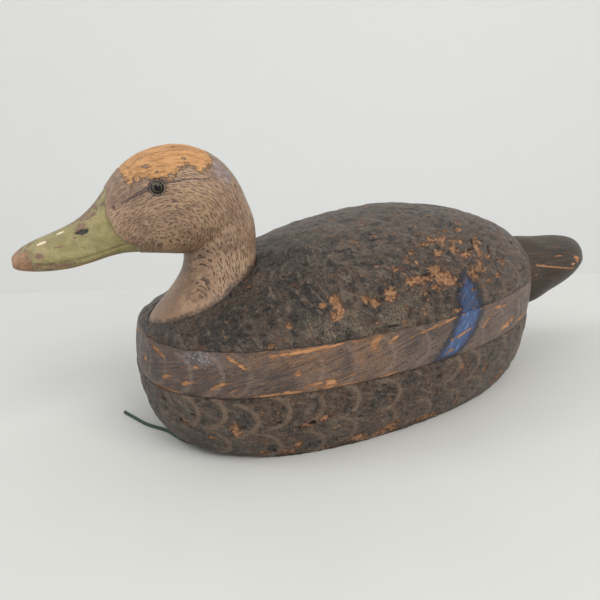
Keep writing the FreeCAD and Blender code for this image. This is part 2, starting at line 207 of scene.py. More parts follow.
# %% Loop and knot
loop_low, loop_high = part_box("line_loop")
knot_low, knot_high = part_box("line_knot")
LOOP_TILT = math.radians(20)
loop_centre = (loop_low + loop_high) / 2
loop_radius = (loop_high.y - loop_low.y) / 2 - LINE_DIAMETER / 2
turns = np.linspace(0, 2 * np.pi, 90, endpoint=False)
loop_line = np.stack([
    loop_centre.x + loop_radius * np.cos(turns) * math.cos(LOOP_TILT),
    loop_radius * np.sin(turns),
    loop_centre.z - loop_radius * np.cos(turns) * math.sin(LOOP_TILT),
], 1)
tied_loop = braided_tube("braided_loop", loop_line, LINE_DIAMETER, "line_tie", closed=True)
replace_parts(tied_loop, "line_loop")

knot_centre = (knot_low + knot_high) / 2
knot_reach = (knot_high.x - knot_low.x) / 2 - LINE_DIAMETER / 2
trefoil = np.stack([
    np.sin(turns) + 2 * np.sin(2 * turns),
    np.cos(turns) - 2 * np.cos(2 * turns),
    -1.6 * np.sin(3 * turns),
], 1) / 3 * knot_reach
knot = braided_tube(
    "overhand_knot", trefoil + np.array(knot_centre), LINE_DIAMETER * 0.8, "line_tie",
    closed=True, pitch=2.6 * MM,
)
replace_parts(knot, "line_knot")
print("loop radius", round(loop_radius / MM, 2), "mm, knot reach", round(knot_reach / MM, 2), "mm")

# %% [markdown]
# ## Noise for carving
# Wood and cork need the same unevenness in their shape and in their colour: a chip is a hollow and
# also a bare patch. So the large marks are worked out here, in Python, at every vertex. They move
# the vertex, and they are stored on the mesh for the material to read. The finest grain stays in
# the materials, because it is smaller than the mesh.
# Value noise is enough: random numbers on a lattice, blended smoothly between its corners.


# %% Value noise
def lattice_random(ix, iy, iz, seed):
    """A repeatable random number from 0 to 1 for each lattice corner."""
    mask = 0xFFFFFFFF
    h = (ix * 374761393 + iy * 668265263 + iz * 1440662683 + seed * 982451653) & mask
    h = ((h ^ (h >> 13)) * 1274126177) & mask
    return ((h ^ (h >> 16)) & 0xFFFFFF) / 0xFFFFFF


def value_noise(points, size, seed):
    scaled = points / np.asarray(size, float)
    corner = np.floor(scaled).astype(np.int64)
    f = scaled - corner
    f = f * f * (3 - 2 * f)
    total = np.zeros(len(points))
    for dx in (0, 1):
        for dy in (0, 1):
            for dz in (0, 1):
                weight = (
                    np.abs(1 - dx - f[:, 0]) * np.abs(1 - dy - f[:, 1]) * np.abs(1 - dz - f[:, 2])
                )
                total += weight * lattice_random(
                    corner[:, 0] + dx, corner[:, 1] + dy, corner[:, 2] + dz, seed
                )
    return total


def grain(points, size, seed, octaves=4):
    """Several sizes of value noise added up, from 0 to 1; size is in millimetres."""
    total, weight = np.zeros(len(points)), 0.0
    for octave in range(octaves):
        total += value_noise(points / MM, np.asarray(size, float) / 2**octave, seed + octave) / 2**octave
        weight += 1 / 2**octave
    return total / weight


def rise(values, low, high):
    """0 below low, 1 above high and a smooth step between."""
    t = np.clip((values - low) / (high - low), 0, 1)
    return t * t * (3 - 2 * t)


print("noise at two points", value_noise(np.array([[1.5, 2.5, 3.5], [9.1, 2.2, 0.4]]), 1.0, 7).round(3))

# %% [markdown]
# ## Fine skins
# The CAD solids have large flat faces, which can't be dented. A voxel remesh gives each part an
# even skin of small squares, about a millimetre across, and rounds its edges a little, as sanding
# does. A light smoothing takes out the voxels' steps. The remesh is applied at once, because the
# carving needs its vertices.


# %% Skin and carve
def fine_skin(node, name, body, voxel):
    """A finely meshed copy of a CAD part that stands for it."""
    piece = bpy.data.objects.new(name, frame["nodes"][node].data.copy())
    bpy.context.scene.collection.objects.link(piece)
    remesh = piece.modifiers.new("skin", "REMESH")
    remesh.mode = "VOXEL"
    remesh.voxel_size = voxel
    ease = piece.modifiers.new("ease", "SMOOTH")
    ease.factor = 0.5
    ease.iterations = 2
    graph = bpy.context.evaluated_depsgraph_get()
    skin = bpy.data.meshes.new_from_object(piece.evaluated_get(graph))
    piece.modifiers.clear()
    piece.data = skin
    skin.materials.clear()
    skin.shade_smooth()
    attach(piece, body)
    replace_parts(piece, node)
    print(name, len(skin.vertices), "vertices")
    return piece


def read_skin(piece):
    """Vertex places and normals as arrays."""
    mesh = piece.data
    places = np.empty(len(mesh.vertices) * 3)
    mesh.vertices.foreach_get("co", places)
    normals = np.empty(len(mesh.vertices) * 3)
    mesh.vertex_normals.foreach_get("vector", normals)
    return places.reshape(-1, 3), normals.reshape(-1, 3)


def place_vertices(piece, places):
    piece.data.vertices.foreach_set("co", places.ravel())
    piece.data.update()


def carve(piece, places, normals, height):
    """Moves each vertex along its normal by height, in metres."""
    place_vertices(piece, places + normals * height[:, None])


def note(piece, **fields):
    """Stores fields, a number or a vector at each vertex, for the material to read."""
    for name, values in fields.items():
        vector = np.ndim(values) == 2
        layer = piece.data.attributes.new(name, "FLOAT_VECTOR" if vector else "FLOAT", "POINT")
        layer.data.foreach_set("vector" if vector else "value", np.asarray(values, np.float32).ravel())


BODY_VOXEL, BOTTOM_VOXEL = 1.12 * MM, 1.2 * MM
cork_back = fine_skin("cork_back", "carved_cork_back", "decoy", BODY_VOXEL)
centre_board = fine_skin("centre_board", "shaped_centre_board", "decoy", BODY_VOXEL)
cork_bottom = fine_skin("cork_bottom", "carved_cork_bottom", "decoy", BOTTOM_VOXEL)
head = fine_skin("head", "carved_head", "decoy", 0.8 * MM)
tail = fine_skin("tail", "carved_tail", "decoy", 0.8 * MM)

# %% [markdown]
# ## Stations round the body
# The painter worked round the duck in rows, so paint marks are placed by two numbers: how far round
# the side they are from the middle of the breast, and how high. The body's outline is two half
# superellipses, so the distance round is added up along that curve once, and every vertex looks its
# own up by its bearing from the middle. Both sides of the duck share it.

# %% Stations
LOWER_JOINT, UPPER_JOINT, ABOVE_ALL = 45, 71, 400
bottom_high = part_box("cork_bottom")[1]
WIDEST_X = 23 * MM
FRONT_REACH = bottom_high.x - WIDEST_X
REAR_REACH = 170.5 * MM
HALF_WIDTH = bottom_high.y
FRONT_POWER, REAR_POWER = 2.5, 1.95


def outline(turn):
    c, s = np.cos(turn), np.sin(turn)
    power = np.where(c > 0, FRONT_POWER, REAR_POWER)
    reach = np.where(c > 0, FRONT_REACH, REAR_REACH)
    return WIDEST_X + reach * np.sign(c) * np.abs(c) ** (2 / power), HALF_WIDTH * np.abs(s) ** (2 / power)


def bearing(x, y):
    reach = np.where(x > WIDEST_X, FRONT_REACH, REAR_REACH)
    return np.arctan2(np.abs(y) / HALF_WIDTH, (x - WIDEST_X) / reach)


half_round = outline(np.linspace(0, np.pi, 3000))
ROUND_BEARINGS = bearing(*half_round)
steps_round = np.hypot(np.diff(half_round[0]), np.diff(half_round[1]))
ROUND_DISTANCES = np.concatenate([[0], np.cumsum(steps_round)]) / MM


def stations(places):
    """Millimetres round the side from the breast, the same on both sides."""
    return np.interp(bearing(places[:, 0], places[:, 1]), ROUND_BEARINGS, ROUND_DISTANCES)


def unrolled(around, height):
    """The side laid out flat, for brush strokes and grain that follow it round."""
    return np.stack([around, np.zeros(len(around)), height], 1)


print("half way round is", round(float(ROUND_DISTANCES[-1])), "mm")

# %% [markdown]
# ## Marks
# Chips, scratches and rubbed lines are all given as fields: a number at each vertex that is one
# half on the mark's edge and more inside. A field can be roughened by noise before it is used, so
# one field gives both a ragged hollow in the mesh and a matching ragged edge in the paint. Only the
# feather loops differ: their number is how thickly the stroke is painted.


# %% Mark tools
def side_blobs(around, height, blobs, ragged):
    """Chips placed by (station, height, half length, half height, slant in degrees)."""
    field = np.zeros(len(around))
    for station, level, long, tall, slant in blobs:
        c, s = math.cos(math.radians(slant)), math.sin(math.radians(slant))
        du, dz = around - station, height - level
        along, across = (du * c + dz * s) / long, (dz * c - du * s) / tall
        field = np.maximum(field, 1 - 0.5 * np.hypot(along, across))
    return field + ragged


def surface_blobs(places, blobs, ragged, side=1, shift=0.0):
    """Chips on one side of a rounded part, placed by (x, z, half length, half height) in mm."""
    field = np.zeros(len(places))
    mine = places[:, 1] * side >= 0
    for x, z, long, tall in blobs:
        x, z, long, tall = (x + shift) * MM, z * MM, long * MM, tall * MM
        gap = np.where(mine, np.hypot(places[:, 0] - x, places[:, 2] - z), 9.0)
        middle = places[np.argmin(gap)]
        away = places - middle
        reach = np.hypot(away[:, 0] / long, np.hypot(away[:, 1], away[:, 2]) / tall)
        field = np.maximum(field, 1 - 0.5 * reach)
    return field + ragged


def paired_blobs(places, blobs, ragged, shift=0.0):
    """The same chips on both sides; shift moves the right side's, so that they don't mirror the left's."""
    left = surface_blobs(places, blobs, ragged)
    return np.maximum(left, surface_blobs(places, blobs, ragged, side=-1, shift=shift))


def feather_loops(around, height, loops, deep, tall, half_stroke):
    """How thickly each brushed loop is painted, from 0 to 1.

    A loop is open towards the breast and is placed by the station and height of its rear.
    """
    field = np.zeros(len(around))
    for station, level, strength in loops:
        du, dz = around - (station - deep), height - level
        off = np.abs(np.hypot(du / deep, dz / tall) - 1) * (deep + tall) / 2
        stroke = 1 - rise(off, half_stroke * 0.5, half_stroke * 1.5)
        field = np.maximum(field, stroke * strength * rise(du, -4, 5))
    return field


def between(values, low, high, soft):
    """1 from low to high, with soft ends."""
    return rise(values, low - soft, low + soft) * (1 - rise(values, high - soft, high + soft))


# %% [markdown]
# ## The blue patch
# A black duck's wing carries a blue patch, the speculum. It is painted as one slanting stroke over
# the board and up on to the back, wider at its top. Its two edges are given by height, and the
# field is the distance in from the nearer one.

# %% Speculum
PATCH_HEIGHTS = [45, 50, 60, 71, 84, 92, 99]
PATCH_FRONT = [209, 211, 222, 231, 233, 240, 247]
PATCH_REAR = [224, 237, 250, 259, 258, 254, 249]


def speculum(around, height):
    front = np.interp(height, PATCH_HEIGHTS, PATCH_FRONT)
    rear = np.interp(height, PATCH_HEIGHTS, PATCH_REAR)
    inside = np.minimum(around - front, rear - around) / 10 + 0.5
    return np.minimum(inside, 0.5 + np.minimum(height - PATCH_HEIGHTS[0], PATCH_HEIGHTS[-1] - height) / 5)


# %% [markdown]
# ## Carving the cork bottom
# Cork tears instead of cutting clean. The bottom layer has lumps from the rasp, small pits where
# the bark had holes, and chips at its lower edge from being dragged over stones. The under side and
# the joint face stay flat.

# %% Cork bottom
BOTTOM_LOOPS = [
    (41, 38, 0.7), (60.5, 35, 1), (76.5, 36, 1), (94.5, 31, 1), (113, 35, 1), (133, 36, 0.8),
    (155.5, 36, 1), (184, 33, 1), (233, 39, 1), (253, 35, 0.9), (287, 38, 0.7), (318, 36, 0.8),
    (348, 36, 0.8),
]
LOWER_LOOPS = [
    (74, 14, 0.8), (105, 12, 0.9), (132.5, 10, 0.8), (154, 15, 0.9), (183, 15, 0.9), (212, 13, 0.9),
    (239, 12, 0.8), (261, 15, 0.7), (295, 15, 0.7), (330, 15, 0.7),
]
BOTTOM_CHIPS = [
    (81, 25, 3.2, 5.5, 10), (64, 18, 2.6, 1.8, -15), (51, 25, 4, 1.2, -20), (116, 10, 2.6, 1.9, 0),
    (123, 25, 4.5, 1.4, 12), (133, 27, 4, 1.2, 20), (92, 6, 3, 2.2, 0), (106, 4, 7, 2.2, 12),
    (154, 4, 9, 3.0, 0), (179, 6, 9, 3.4, 14), (208, 4, 13, 3.2, 4), (290, 11, 7, 2.6, 20),
    (239, 9, 2.4, 1.6, 0), (262, 26, 2.2, 1.4, 0), (330, 8, 9, 2.4, 0), (22, 5, 6, 1.6, 0),
    (236, 36, 2.5, 1.8, 30),
]
BOTTOM_PITS = [
    (37, 38, 5, 1.4, -35), (46, 27, 4, 1.2, 60), (107, 28, 3.2, 0.6, -15), (126, 25, 3.6, 0.8, 15),
    (213, 35, 4.4, 0.9, 25), (298, 47, 3, 1, 0), (335, 34, 3, 1.2, 20), (100, 5, 0.8, 5, 0),
    (83, 26, 0.7, 3.8, 8), (57, 33, 3.4, 0.7, -30), (117, 24, 0.5, 2.6, 20), (150, 27, 2.8, 0.6, -20),
    (172, 40, 3, 0.5, 10), (205, 2, 6, 2, 0),
]


def cork_relief(places, seed):
    """Rasped cork: its height in millimetres, how deep in a pit each vertex is, and its granules."""
    lumps = (grain(places, (22, 14, 9), seed, 2) - 0.5) * 1.7
    granules = (grain(places, (6.5, 5, 3.6), seed + 10, 3) - 0.5) * 1.7
    hollows = value_noise(places / MM, (7.5, 6.5, 2.2), seed + 20)
    holes = rise(hollows + 0.6 * (grain(places, 3, seed + 30) - 0.5), 0.86, 0.97)
    return lumps + granules - 0.6 * holes, holes, granules


def outer_wall(places, normals, low, high):
    """1 on a layer's side and 0 on its flat faces at the heights low and high."""
    height = places[:, 2] / MM
    flat_top = (normals[:, 2] > 0.8) & (height > high - 1)
    flat_base = (normals[:, 2] < -0.8) & (height < low + 1)
    return np.where(flat_top | flat_base, 0.0, 1.0)


def joint_swell(places, normals, joints):
    """How much the glued faces swell, in millimetres, to fill the hairline between two layers."""
    height = places[:, 2] / MM
    glued = np.zeros(len(places))
    for joint in joints:
        glued = np.maximum(glued, (np.abs(height - joint) < 0.9) * rise(np.abs(normals[:, 2]), 0.5, 0.9))
    return 0.4 * glued


def side_of(places):
    """Shifts the stations of the right side, so that its wear isn't a mirror image of the left's."""
    around = stations(places)
    return around, around + np.where(places[:, 1] < 0, 17.0, 0.0)


def carve_bottom(piece):
    places, normals = read_skin(piece)
    around, worn_at = side_of(places)
    height = places[:, 2] / MM
    wall = outer_wall(places, normals, 0, LOWER_JOINT)
    ragged = (grain(places, 3.6, 51, 3) - 0.5) * 0.75
    relief, holes, granules = cork_relief(places, 60)
    edge_wear = (1 - rise(height, 1.5, 7)) * (0.2 + 0.38 * grain(places, 14, 72, 2)) * wall
    edge_wear += 0.16 * between(worn_at, 140, 235, 12) * (1 - rise(height, 3, 9)) * wall
    sparse = value_noise(places / MM, 2.8, 79) * 0.47
    chips = side_blobs(worn_at, height, BOTTOM_CHIPS, ragged)
    bare = np.maximum.reduce([chips, edge_wear + ragged * 1.1, sparse])
    pit = side_blobs(worn_at, height, BOTTOM_PITS, ragged * 2.2 - 0.06)
    loops = np.maximum(
        feather_loops(around + ragged * 2, height, BOTTOM_LOOPS, 14, 10.5, 1.25),
        feather_loops(around + ragged * 2, height, LOWER_LOOPS, 14, 9.5, 1.2),
    )
    lumpy = rise(grain(places, 8, 77, 3), 0.3, 0.75)
    lifted = between(worn_at, 140, 205, 10) * (1 - rise(height, 0, 5)) * 2.6 * lumpy
    joint = rise(height, 43.6, 45) * 0.1
    depth = relief - 1.0 * rise(bare, 0.47, 0.6) - 1.1 * rise(pit, 0.47, 0.7) - joint
    swell = joint_swell(places, normals, (LOWER_JOINT,))
    outward = (np.clip(depth * wall, -2.6, 0.45) + swell) * MM
    carved = places + normals * outward[:, None]
    carved[:, 2] = np.maximum(carved[:, 2] + lifted * wall * MM, 0.0)
    place_vertices(piece, carved)
    note(
        piece,
        bare=bare * wall,
        pit=np.maximum(pit, holes * 0.56) * wall,
        worn=0.45 + 0.5 * (1 - rise(height, 2, 12)),
        loops=loops * wall,
        crust=rise(grain(places, 20, 91, 3), 0.5, 0.75) * 0.45,
        brown=0.35 + 0.6 * rise(grain(places, 30, 95, 2), 0.4, 0.6),
        granule=granules,
        lay=unrolled(around, height),
    )
    return bare


bare = carve_bottom(cork_bottom)
print("bare share of the bottom layer", round(float((bare > 0.5).mean()), 3))

# %% [markdown]
# ## Carving the centre board
# The middle layer is pine. It was cut smooth, so it keeps only shallow waves; its marks are long
# scratches along the side, and a rubbed line on each edge where the paint wears first.

# %% Centre board
BOARD_LOOPS = [
    (23, 58, 0.75), (39, 58, 0.8), (57.5, 57, 1), (76, 58, 1), (92, 58, 0.7), (133, 58, 0.75),
    (154, 58, 0.75), (179.5, 59, 0.95), (206, 60, 0.9), (256, 52, 0.8), (280, 58, 0.65), (305, 58, 0.7),
    (332, 58, 0.7),
]
BOARD_WEAR = [
    (36, 46, 14, 0.7, 0), (110, 46.2, 24, 1.1, 3), (127, 49.5, 9, 0.9, 8), (137, 48.5, 4, 2.6, 30),
    (148, 46.4, 5, 0.8, 0), (149, 50.5, 5, 0.8, 8), (173, 45.8, 9, 0.8, 6), (126, 69.6, 26, 1.1, 3),
    (168, 68.5, 4.5, 2.6, 40), (181, 67.5, 5, 0.9, 20), (212, 68.2, 22, 0.9, 7), (275, 67.5, 9, 0.9, -8),
    (287, 52, 9, 1.9, 12), (233, 58.5, 9, 0.8, 12), (224, 50.5, 5, 0.9, 15), (54, 53, 4, 1.2, 20),
    (39, 54, 4, 1.3, 20), (82, 67, 9, 1.1, -35), (60, 63, 2, 0.8, 0), (258, 60, 7, 0.8, 30),
    (73, 52.5, 5, 0.9, 25), (118, 57, 2, 1.4, 0), (30, 67, 9, 1, -15), (15, 58, 3, 1.6, 50),
    (310, 49, 12, 1.2, 5), (345, 66, 13, 1, 0),
]


def carve_board(piece):
    places, normals = read_skin(piece)
    around, worn_at = side_of(places)
    height = places[:, 2] / MM
    wall = outer_wall(places, normals, LOWER_JOINT, UPPER_JOINT)
    ragged = (grain(places, 3.2, 151, 3) - 0.5) * 0.8
    waves = (grain(places, 24, 155, 2) - 0.5) * 0.5 + (grain(places, 5, 158, 2) - 0.5) * 0.18
    edge = np.maximum(1 - rise(height, 45, 47.2), rise(height, 69.2, 71.0))
    edge_wear = edge * (0.12 + 0.08 * (height > 60) + 0.5 * grain(places, 17, 160, 2))
    bare = np.maximum(side_blobs(worn_at, height, BOARD_WEAR, ragged), edge_wear + ragged)
    loops = feather_loops(around + ragged * 2, height, BOARD_LOOPS, 12, 11.5, 1.25)
    joint = (1 - rise(height, 45, 46)) * 0.1
    depth = waves - 0.35 * rise(bare, 0.47, 0.6) - joint
    swell = joint_swell(places, normals, (LOWER_JOINT, UPPER_JOINT))
    carve(piece, places, normals, (np.minimum(depth, 0.2) * wall + swell) * MM)
    scratched = between(worn_at, 42, 118, 14) * between(height, 47, 66, 4)
    streaked = np.maximum(
        between(worn_at, 96, 168, 18) * between(height, 58, 70, 4), 0.5 * between(worn_at, 260, 330, 20),
    )
    note(
        piece,
        bare=bare * wall,
        loops=loops * wall,
        blue=speculum(around, height) + ragged * 0.35,
        scratch=np.maximum(scratched, streaked * 0.85),
        # A painted highlight along the top edge of the board near the breast.
        sheen=between(around, 52, 70, 8) * between(height, 64, 71, 3),
        brown=0.15 + 0.85 * between(worn_at, 92, 180, 20) * rise(grain(places, 18, 165, 2), 0.25, 0.55),
        lay=unrolled(around, height),
    )


carve_board(centre_board)

# %% [markdown]
# ## Carving the cork back
# The back takes the most weather. Its paint has come away in chunks towards the rear, where gulls
# and rain reached it, and a crust of old paint stays along the sides. The top stays nearly black.

# %% Cork back
BACK_CHIPS = [
    (54, 91, 3.2, 6.5), (56, 85, 3.8, 3.2), (32, 89, 2.6, 3), (36, 92, 2, 2), (21, 93, 3.4, 4.4),
    (-2, 96.5, 9, 2.4), (6, 98, 3, 1.6), (-21, 95, 6.5, 5), (-17, 100, 5, 3.6), (-26, 92, 4.5, 3.2),
    (-35, 90, 3.6, 5), (-40, 101, 5, 3.4), (-43, 105, 3, 2.4), (-59, 105, 2.2, 6.5), (-63, 110, 1.6, 4.5),
    (-56, 99, 2.4, 4), (-67, 100, 2, 1.6), (-72.5, 88, 2.8, 1.8), (-60, 86.5, 3.6, 1.0), (-52, 118, 3, 2),
    (-40, 118.5, 2, 1.4), (-31, 115, 4, 2.2), (-17.5, 114, 3.2, 2.8), (-24, 109, 3, 2.2),
    (-37.5, 109.5, 3, 2.2), (-47, 112, 2.2, 2), (62, 91, 2, 2), (87, 89, 3, 1.8), (84, 83, 1.8, 2.2),
    (96, 73.6, 2.6, 1.6), (12, 104, 3, 1.4), (2, 108, 2.4, 1), (-29, 74, 7, 1), (45, 96, 2, 2.6),
    (-48, 92, 2.6, 2), (-12, 92, 3.4, 1.8), (-80, 95, 2, 3), (-44, 84, 2.6, 1), (-50, 91, 3, 1),
]
BACK_PITS = [
    (-57, 110, 1.1, 4.2), (-62, 111.5, 4, 0.8), (-52, 107, 2.6, 0.7), (30, 120, 2.2, 0.7),
    (-70, 104, 0.7, 3), (-8, 99, 2.4, 0.5), (48, 73, 2.5, 0.7), (22, 74, 4, 0.7),
]
BACK_LOOPS = [
    (118, 86, 0.22), (150, 92, 0.22), (178, 100, 0.3), (206, 94, 0.22), (270, 86, 0.5), (292, 84, 0.5),
    (316, 86, 0.45), (344, 86, 0.45),
]


def carve_back(piece):
    places, normals = read_skin(piece)
    around, height = stations(places), places[:, 2] / MM
    x = places[:, 0] / MM
    wall = outer_wall(places, normals, UPPER_JOINT, ABOVE_ALL)
    ragged = (grain(places, 4.4, 251, 4) - 0.5) * 0.9
    relief, holes, granules = cork_relief(places, 260)
    chips = paired_blobs(places, BACK_CHIPS, ragged, 11)
    weathered = between(x, -66, 8, 16) * between(height, 86, 120, 10)
    scattered = (0.12 + 0.60 * value_noise(places / MM, 5.0, 268)) * weathered + ragged * 0.6
    sparse = value_noise(places / MM, 2.8, 269) * (0.42 + 0.09 * between(x, -80, 40, 20))
    bare = np.maximum.reduce([chips, scattered, sparse])
    pit = paired_blobs(places, BACK_PITS, ragged * 1.8 - 0.06, -9)
    crust_band = between(x, -12, 78, 14) * between(height, 71, 88, 4)
    crust = crust_band * rise(grain(places, 9, 275, 3), 0.36, 0.6)
    flow = np.interp(height, [71, 95, 125], [0, 14, 30])
    loops = feather_loops(around + flow + ragged * 3, height, BACK_LOOPS, 15, 12, 1.6)
    joint = (1 - rise(height, 71, 72.4)) * 0.05
    depth = relief - 0.9 * rise(bare, 0.47, 0.6) - 1.5 * rise(pit, 0.47, 0.65)
    depth = depth + crust * (granules * 0.9) - joint
    swell = joint_swell(places, normals, (UPPER_JOINT,))
    carve(piece, places, normals, (np.clip(depth, -2.6, 0.5) * wall + swell) * MM)
    neck_patches = rise(grain(places, 16, 282, 3), 0.3, 0.6)
    note(
        piece,
        bare=bare * wall,
        pit=np.maximum(pit, holes * 0.56) * wall,
        # Upward-facing faces of the back are painted paler: a painted highlight for light falling on the
        # top.
        bleach=rise(normals[:, 2], 0.55, 0.95) * rise(x, -60, 10) * (1 - rise(x, 70, 105)),
        loops=loops * wall,
        blue=speculum(around, height) + ragged * 0.45 - rise(height, 84, 96) * 0.12,
        crust=crust,
        # The back is darker in patches round the foot of the neck.
        sooty=between(x, 52, 122, 10) * between(height, 76, 116, 7) * neck_patches,
        worn=np.maximum(between(x, -80, 30, 22) * between(height, 80, 122, 9), 0.3 * rise(height, 80, 90)),
        brown=np.clip(rise(-x, 40, 95) + 0.35 * (1 - rise(height, 74, 90)) - rise(x, 40, 70) * 0.5, 0, 1),
        granule=granules,
        lay=unrolled(around, height),
    )


carve_back(cork_back)

# %% [markdown]
# ## Carving the head
# The head is whittled from pine. The bill is cut in a little way behind its edge, so the cheek
# stands proud of it. The crown has lost its paint down to the wood, and there are two nostrils and
# a line for the mandible.

# %% Head
CHEEK_X, CHEEK_Z, COMB_RADIUS = 141, 112, 34
BREAST_X, JOINT_ZONE_Z, NECK_TOP_Z, FOOT_REACH = 50, 65, 122, 6
CROWN_X = [103, 104, 105, 109, 114.5, 116, 120, 124, 127.5, 130, 135, 137, 143, 147.7, 152, 154, 156]
CROWN_EDGE = [186, 173, 169, 167, 164.7, 168, 170, 169, 166, 164, 163, 162, 164.4, 163, 160, 164, 175]
BILL_Z = [112, 125, 129.8, 135.7, 144.9, 152.9, 156]
BILL_X = [146, 150.3, 158.3, 162.8, 165.9, 165.2, 163.5]
CROWN_DABS = [
    (142, 169.6, 2.6, 1.6), (121, 173, 1.2, 1), (137, 167, 1.2, 0.8), (124, 179, 1.3, 1),
    (130, 164.8, 1.4, 0.8),
]
BILL_BARE = [(190, 136.8, 5, 1.0), (200.5, 132.5, 4.6, 1.2)]
BILL_BROWN = [
    (203, 127, 2.6, 2.2), (198, 122, 3, 1.2), (160, 150, 1.2, 0.8), (207, 131, 2, 2),
    (166.6, 151, 1.7, 1.5), (172.6, 145, 2.8, 1.7), (192, 130.8, 2.4, 0.6), (184, 134.3, 2.2, 0.8),
    (170, 147.5, 1.2, 0.8), (191, 121.5, 6, 0.9), (204, 122.5, 3, 1), (199, 119.5, 3, 0.8),
]
NOSTRIL = [(179.5, 137, 4.2, 1.5)]
HEAD_DARKS = [
    (161.7, 148.6, 0.9, 1.9), (91.7, 155, 1.2, 1.4), (131, 150.7, 1.6, 0.7), (114.5, 100.7, 1.7, 2.4),
]
EYE_LINE = [(109, 161.2, 0.35), (123, 161.8, 0.5), (133, 160.8, 0.6), (137, 160, 0.7)]
EYE_STRIPE = [(141, 158.8, 1.5), (146, 157.0, 1.5), (152, 153.8, 0.9), (158.4, 150.3, 0.3)]
LOWER_EDGE_X, LOWER_EDGE_Z = [150, 163, 175, 190, 206, 216], [124, 121, 119, 117.4, 117, 118]


def line_field(across, along, points):
    """A painted line through (along, across, half width) points, as a field."""
    s, level, width = zip(*points)
    gap = np.abs(across - np.interp(along, s, level))
    width = np.interp(along, s, width)
    ends = np.minimum(along - s[0], s[-1] - along)
    return np.minimum(1 - 0.5 * gap / np.maximum(width, 0.05), 0.5 + ends / 2)


def foot_of_neck(places):
    """1 where the neck meets the carved back, down to 0 a few millimetres above it."""
    back = read_skin(cork_back)[0]
    back = back[(back[:, 0] > BREAST_X * MM) & (back[:, 2] > JOINT_ZONE_Z * MM)]
    near_back = KDTree(len(back))
    for index, place in enumerate(back):
        near_back.insert(place, index)
    near_back.balance()
    foot = np.zeros(len(places))
    for index in np.flatnonzero(places[:, 2] / MM < NECK_TOP_Z):
        foot[index] = 1 - min(near_back.find(places[index])[2] / MM / FOOT_REACH, 1)
    return foot


def carve_head(piece):
    places, normals = read_skin(piece)
    x, y, z = (places / MM).T
    ragged = (grain(places, 3.2, 351, 3) - 0.5) * 0.8
    crown = np.clip((z - np.interp(x, CROWN_X, CROWN_EDGE)) / 11, -0.5, 0.5) + 0.5 + ragged * 0.35
    dabs = surface_blobs(places, CROWN_DABS, ragged * 0.6)
    crown = np.minimum(crown, 1.05 - dabs)
    crown = np.where(z > 158, crown, 0)
    bill = np.where(z > 110, (x - np.interp(z, BILL_Z, BILL_X)) / 5 + 0.5, 0)
    nail = (x - np.interp(z, [118, 124, 131], [205, 208, 211.5])) / 13 + 0.5 + ragged * 0.9
    above_edge = z - np.interp(x, LOWER_EDGE_X, LOWER_EDGE_Z)
    low_edge = rise(x, 157, 164) * (1 - rise(above_edge, 0.2, 2.6)) * 0.95
    low_edge = low_edge * (0.4 + 0.6 * grain(places, 8, 355, 2)) + ragged * 0.5
    bare = np.maximum.reduce([crown, nail, low_edge])
    pale = paired_blobs(places, BILL_BARE, ragged * 0.5, -6)
    brown = paired_blobs(places, BILL_BROWN, ragged * 0.7, 5)
    ridge = between(x, 161, 184, 5) * rise(normals[:, 2], 0.3, 0.75) * 0.62
    rubbed = np.maximum(brown, ridge + ragged * 0.6)
    nostril = paired_blobs(places, NOSTRIL, ragged * 0.3)
    dark_left = surface_blobs(places, HEAD_DARKS, ragged * 0.5)
    dark = np.maximum(dark_left, surface_blobs(places, HEAD_DARKS[:1], ragged * 0.5, side=-1))
    on_side = rise(np.abs(y), 7, 11)
    eye_line = (line_field(z, x, EYE_LINE) + ragged * 0.3) * on_side
    eye_stripe = (line_field(z, x, EYE_STRIPE) + ragged * 0.3) * on_side
    crown_shade = np.where(crown < 0.5, np.clip(crown + 0.12, 0, 1), 0)
    dark = np.maximum.reduce([dark, eye_line, eye_stripe, crown_shade + ragged * 0.25])
    whittled = (grain(places, 15, 360, 2) - 0.5) * 0.35 * rise(z, 96, 108)
    step = rise(bill, 0.42, 0.6) * 0.45 * (1 - rise(x, 176, 190))
    mandible = np.interp(x, [157.5, 175, 192, 204], [128, 123.8, 122.0, 122.4])
    groove = (1 - rise(np.abs(z - mandible), 0.3, 1.3)) * between(x, 158, 203, 3) * (normals[:, 2] < 0.3)
    depth = whittled - 0.3 * rise(crown, 0.48, 0.56) - step - 0.5 * groove
    depth = depth - 0.9 * rise(nostril, 0.48, 0.6) - 0.12 * rise(nail, 0.5, 0.6)
    carve(piece, places, normals, np.minimum(depth, 0.25) * MM)
    turn = np.arctan2(z - CHEEK_Z, CHEEK_X - x)
    out_from_cheek = np.hypot(x - CHEEK_X, z - CHEEK_Z) - np.abs(y)
    throat = rise(x, 116, 134) * (1 - rise(z, 116, 126))
    flecks = (1 - rise(bill, 0.1, 0.45)) * (1 - throat) * (0.5 + 0.5 * rise(z, 84, 104))
    note(
        piece,
        foot=foot_of_neck(places),
        bare=bare,
        bill=bill,
        pale=pale,
        rubbed=rubbed,
        nostril=nostril,
        dark=dark,
        groove=groove,
        comb=np.stack([-turn * COMB_RADIUS, out_from_cheek, y], 1),
        flecks=flecks,
        golden=between(x, 106, 131, 5) * between(z, 141, 159, 4),
        # A painted reflection, pale blue-grey, at the back of the crown.
        sheen=surface_blobs(places, [(99, 164, 6, 8)], 0.0),
    )


carve_head(head)

# %% [markdown]
# ## Carving the tail
# The tail is a flat pine blade let into the board. Its upper face has a long crease where the paint
# is rubbed through, and its tip is worn to the wood.

# %% Tail
TAIL_RUBS = [(-193, 74.5, 5.2, 2), (-186, 71.8, 3.4, 1), (-173, 80, 5, 0.7)]
TAIL_CREASE = [(-190, 68, 0.4), (-182.5, 69, 0.8), (-143.5, 77, 1.0)]
tail_low, tail_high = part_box("tail")


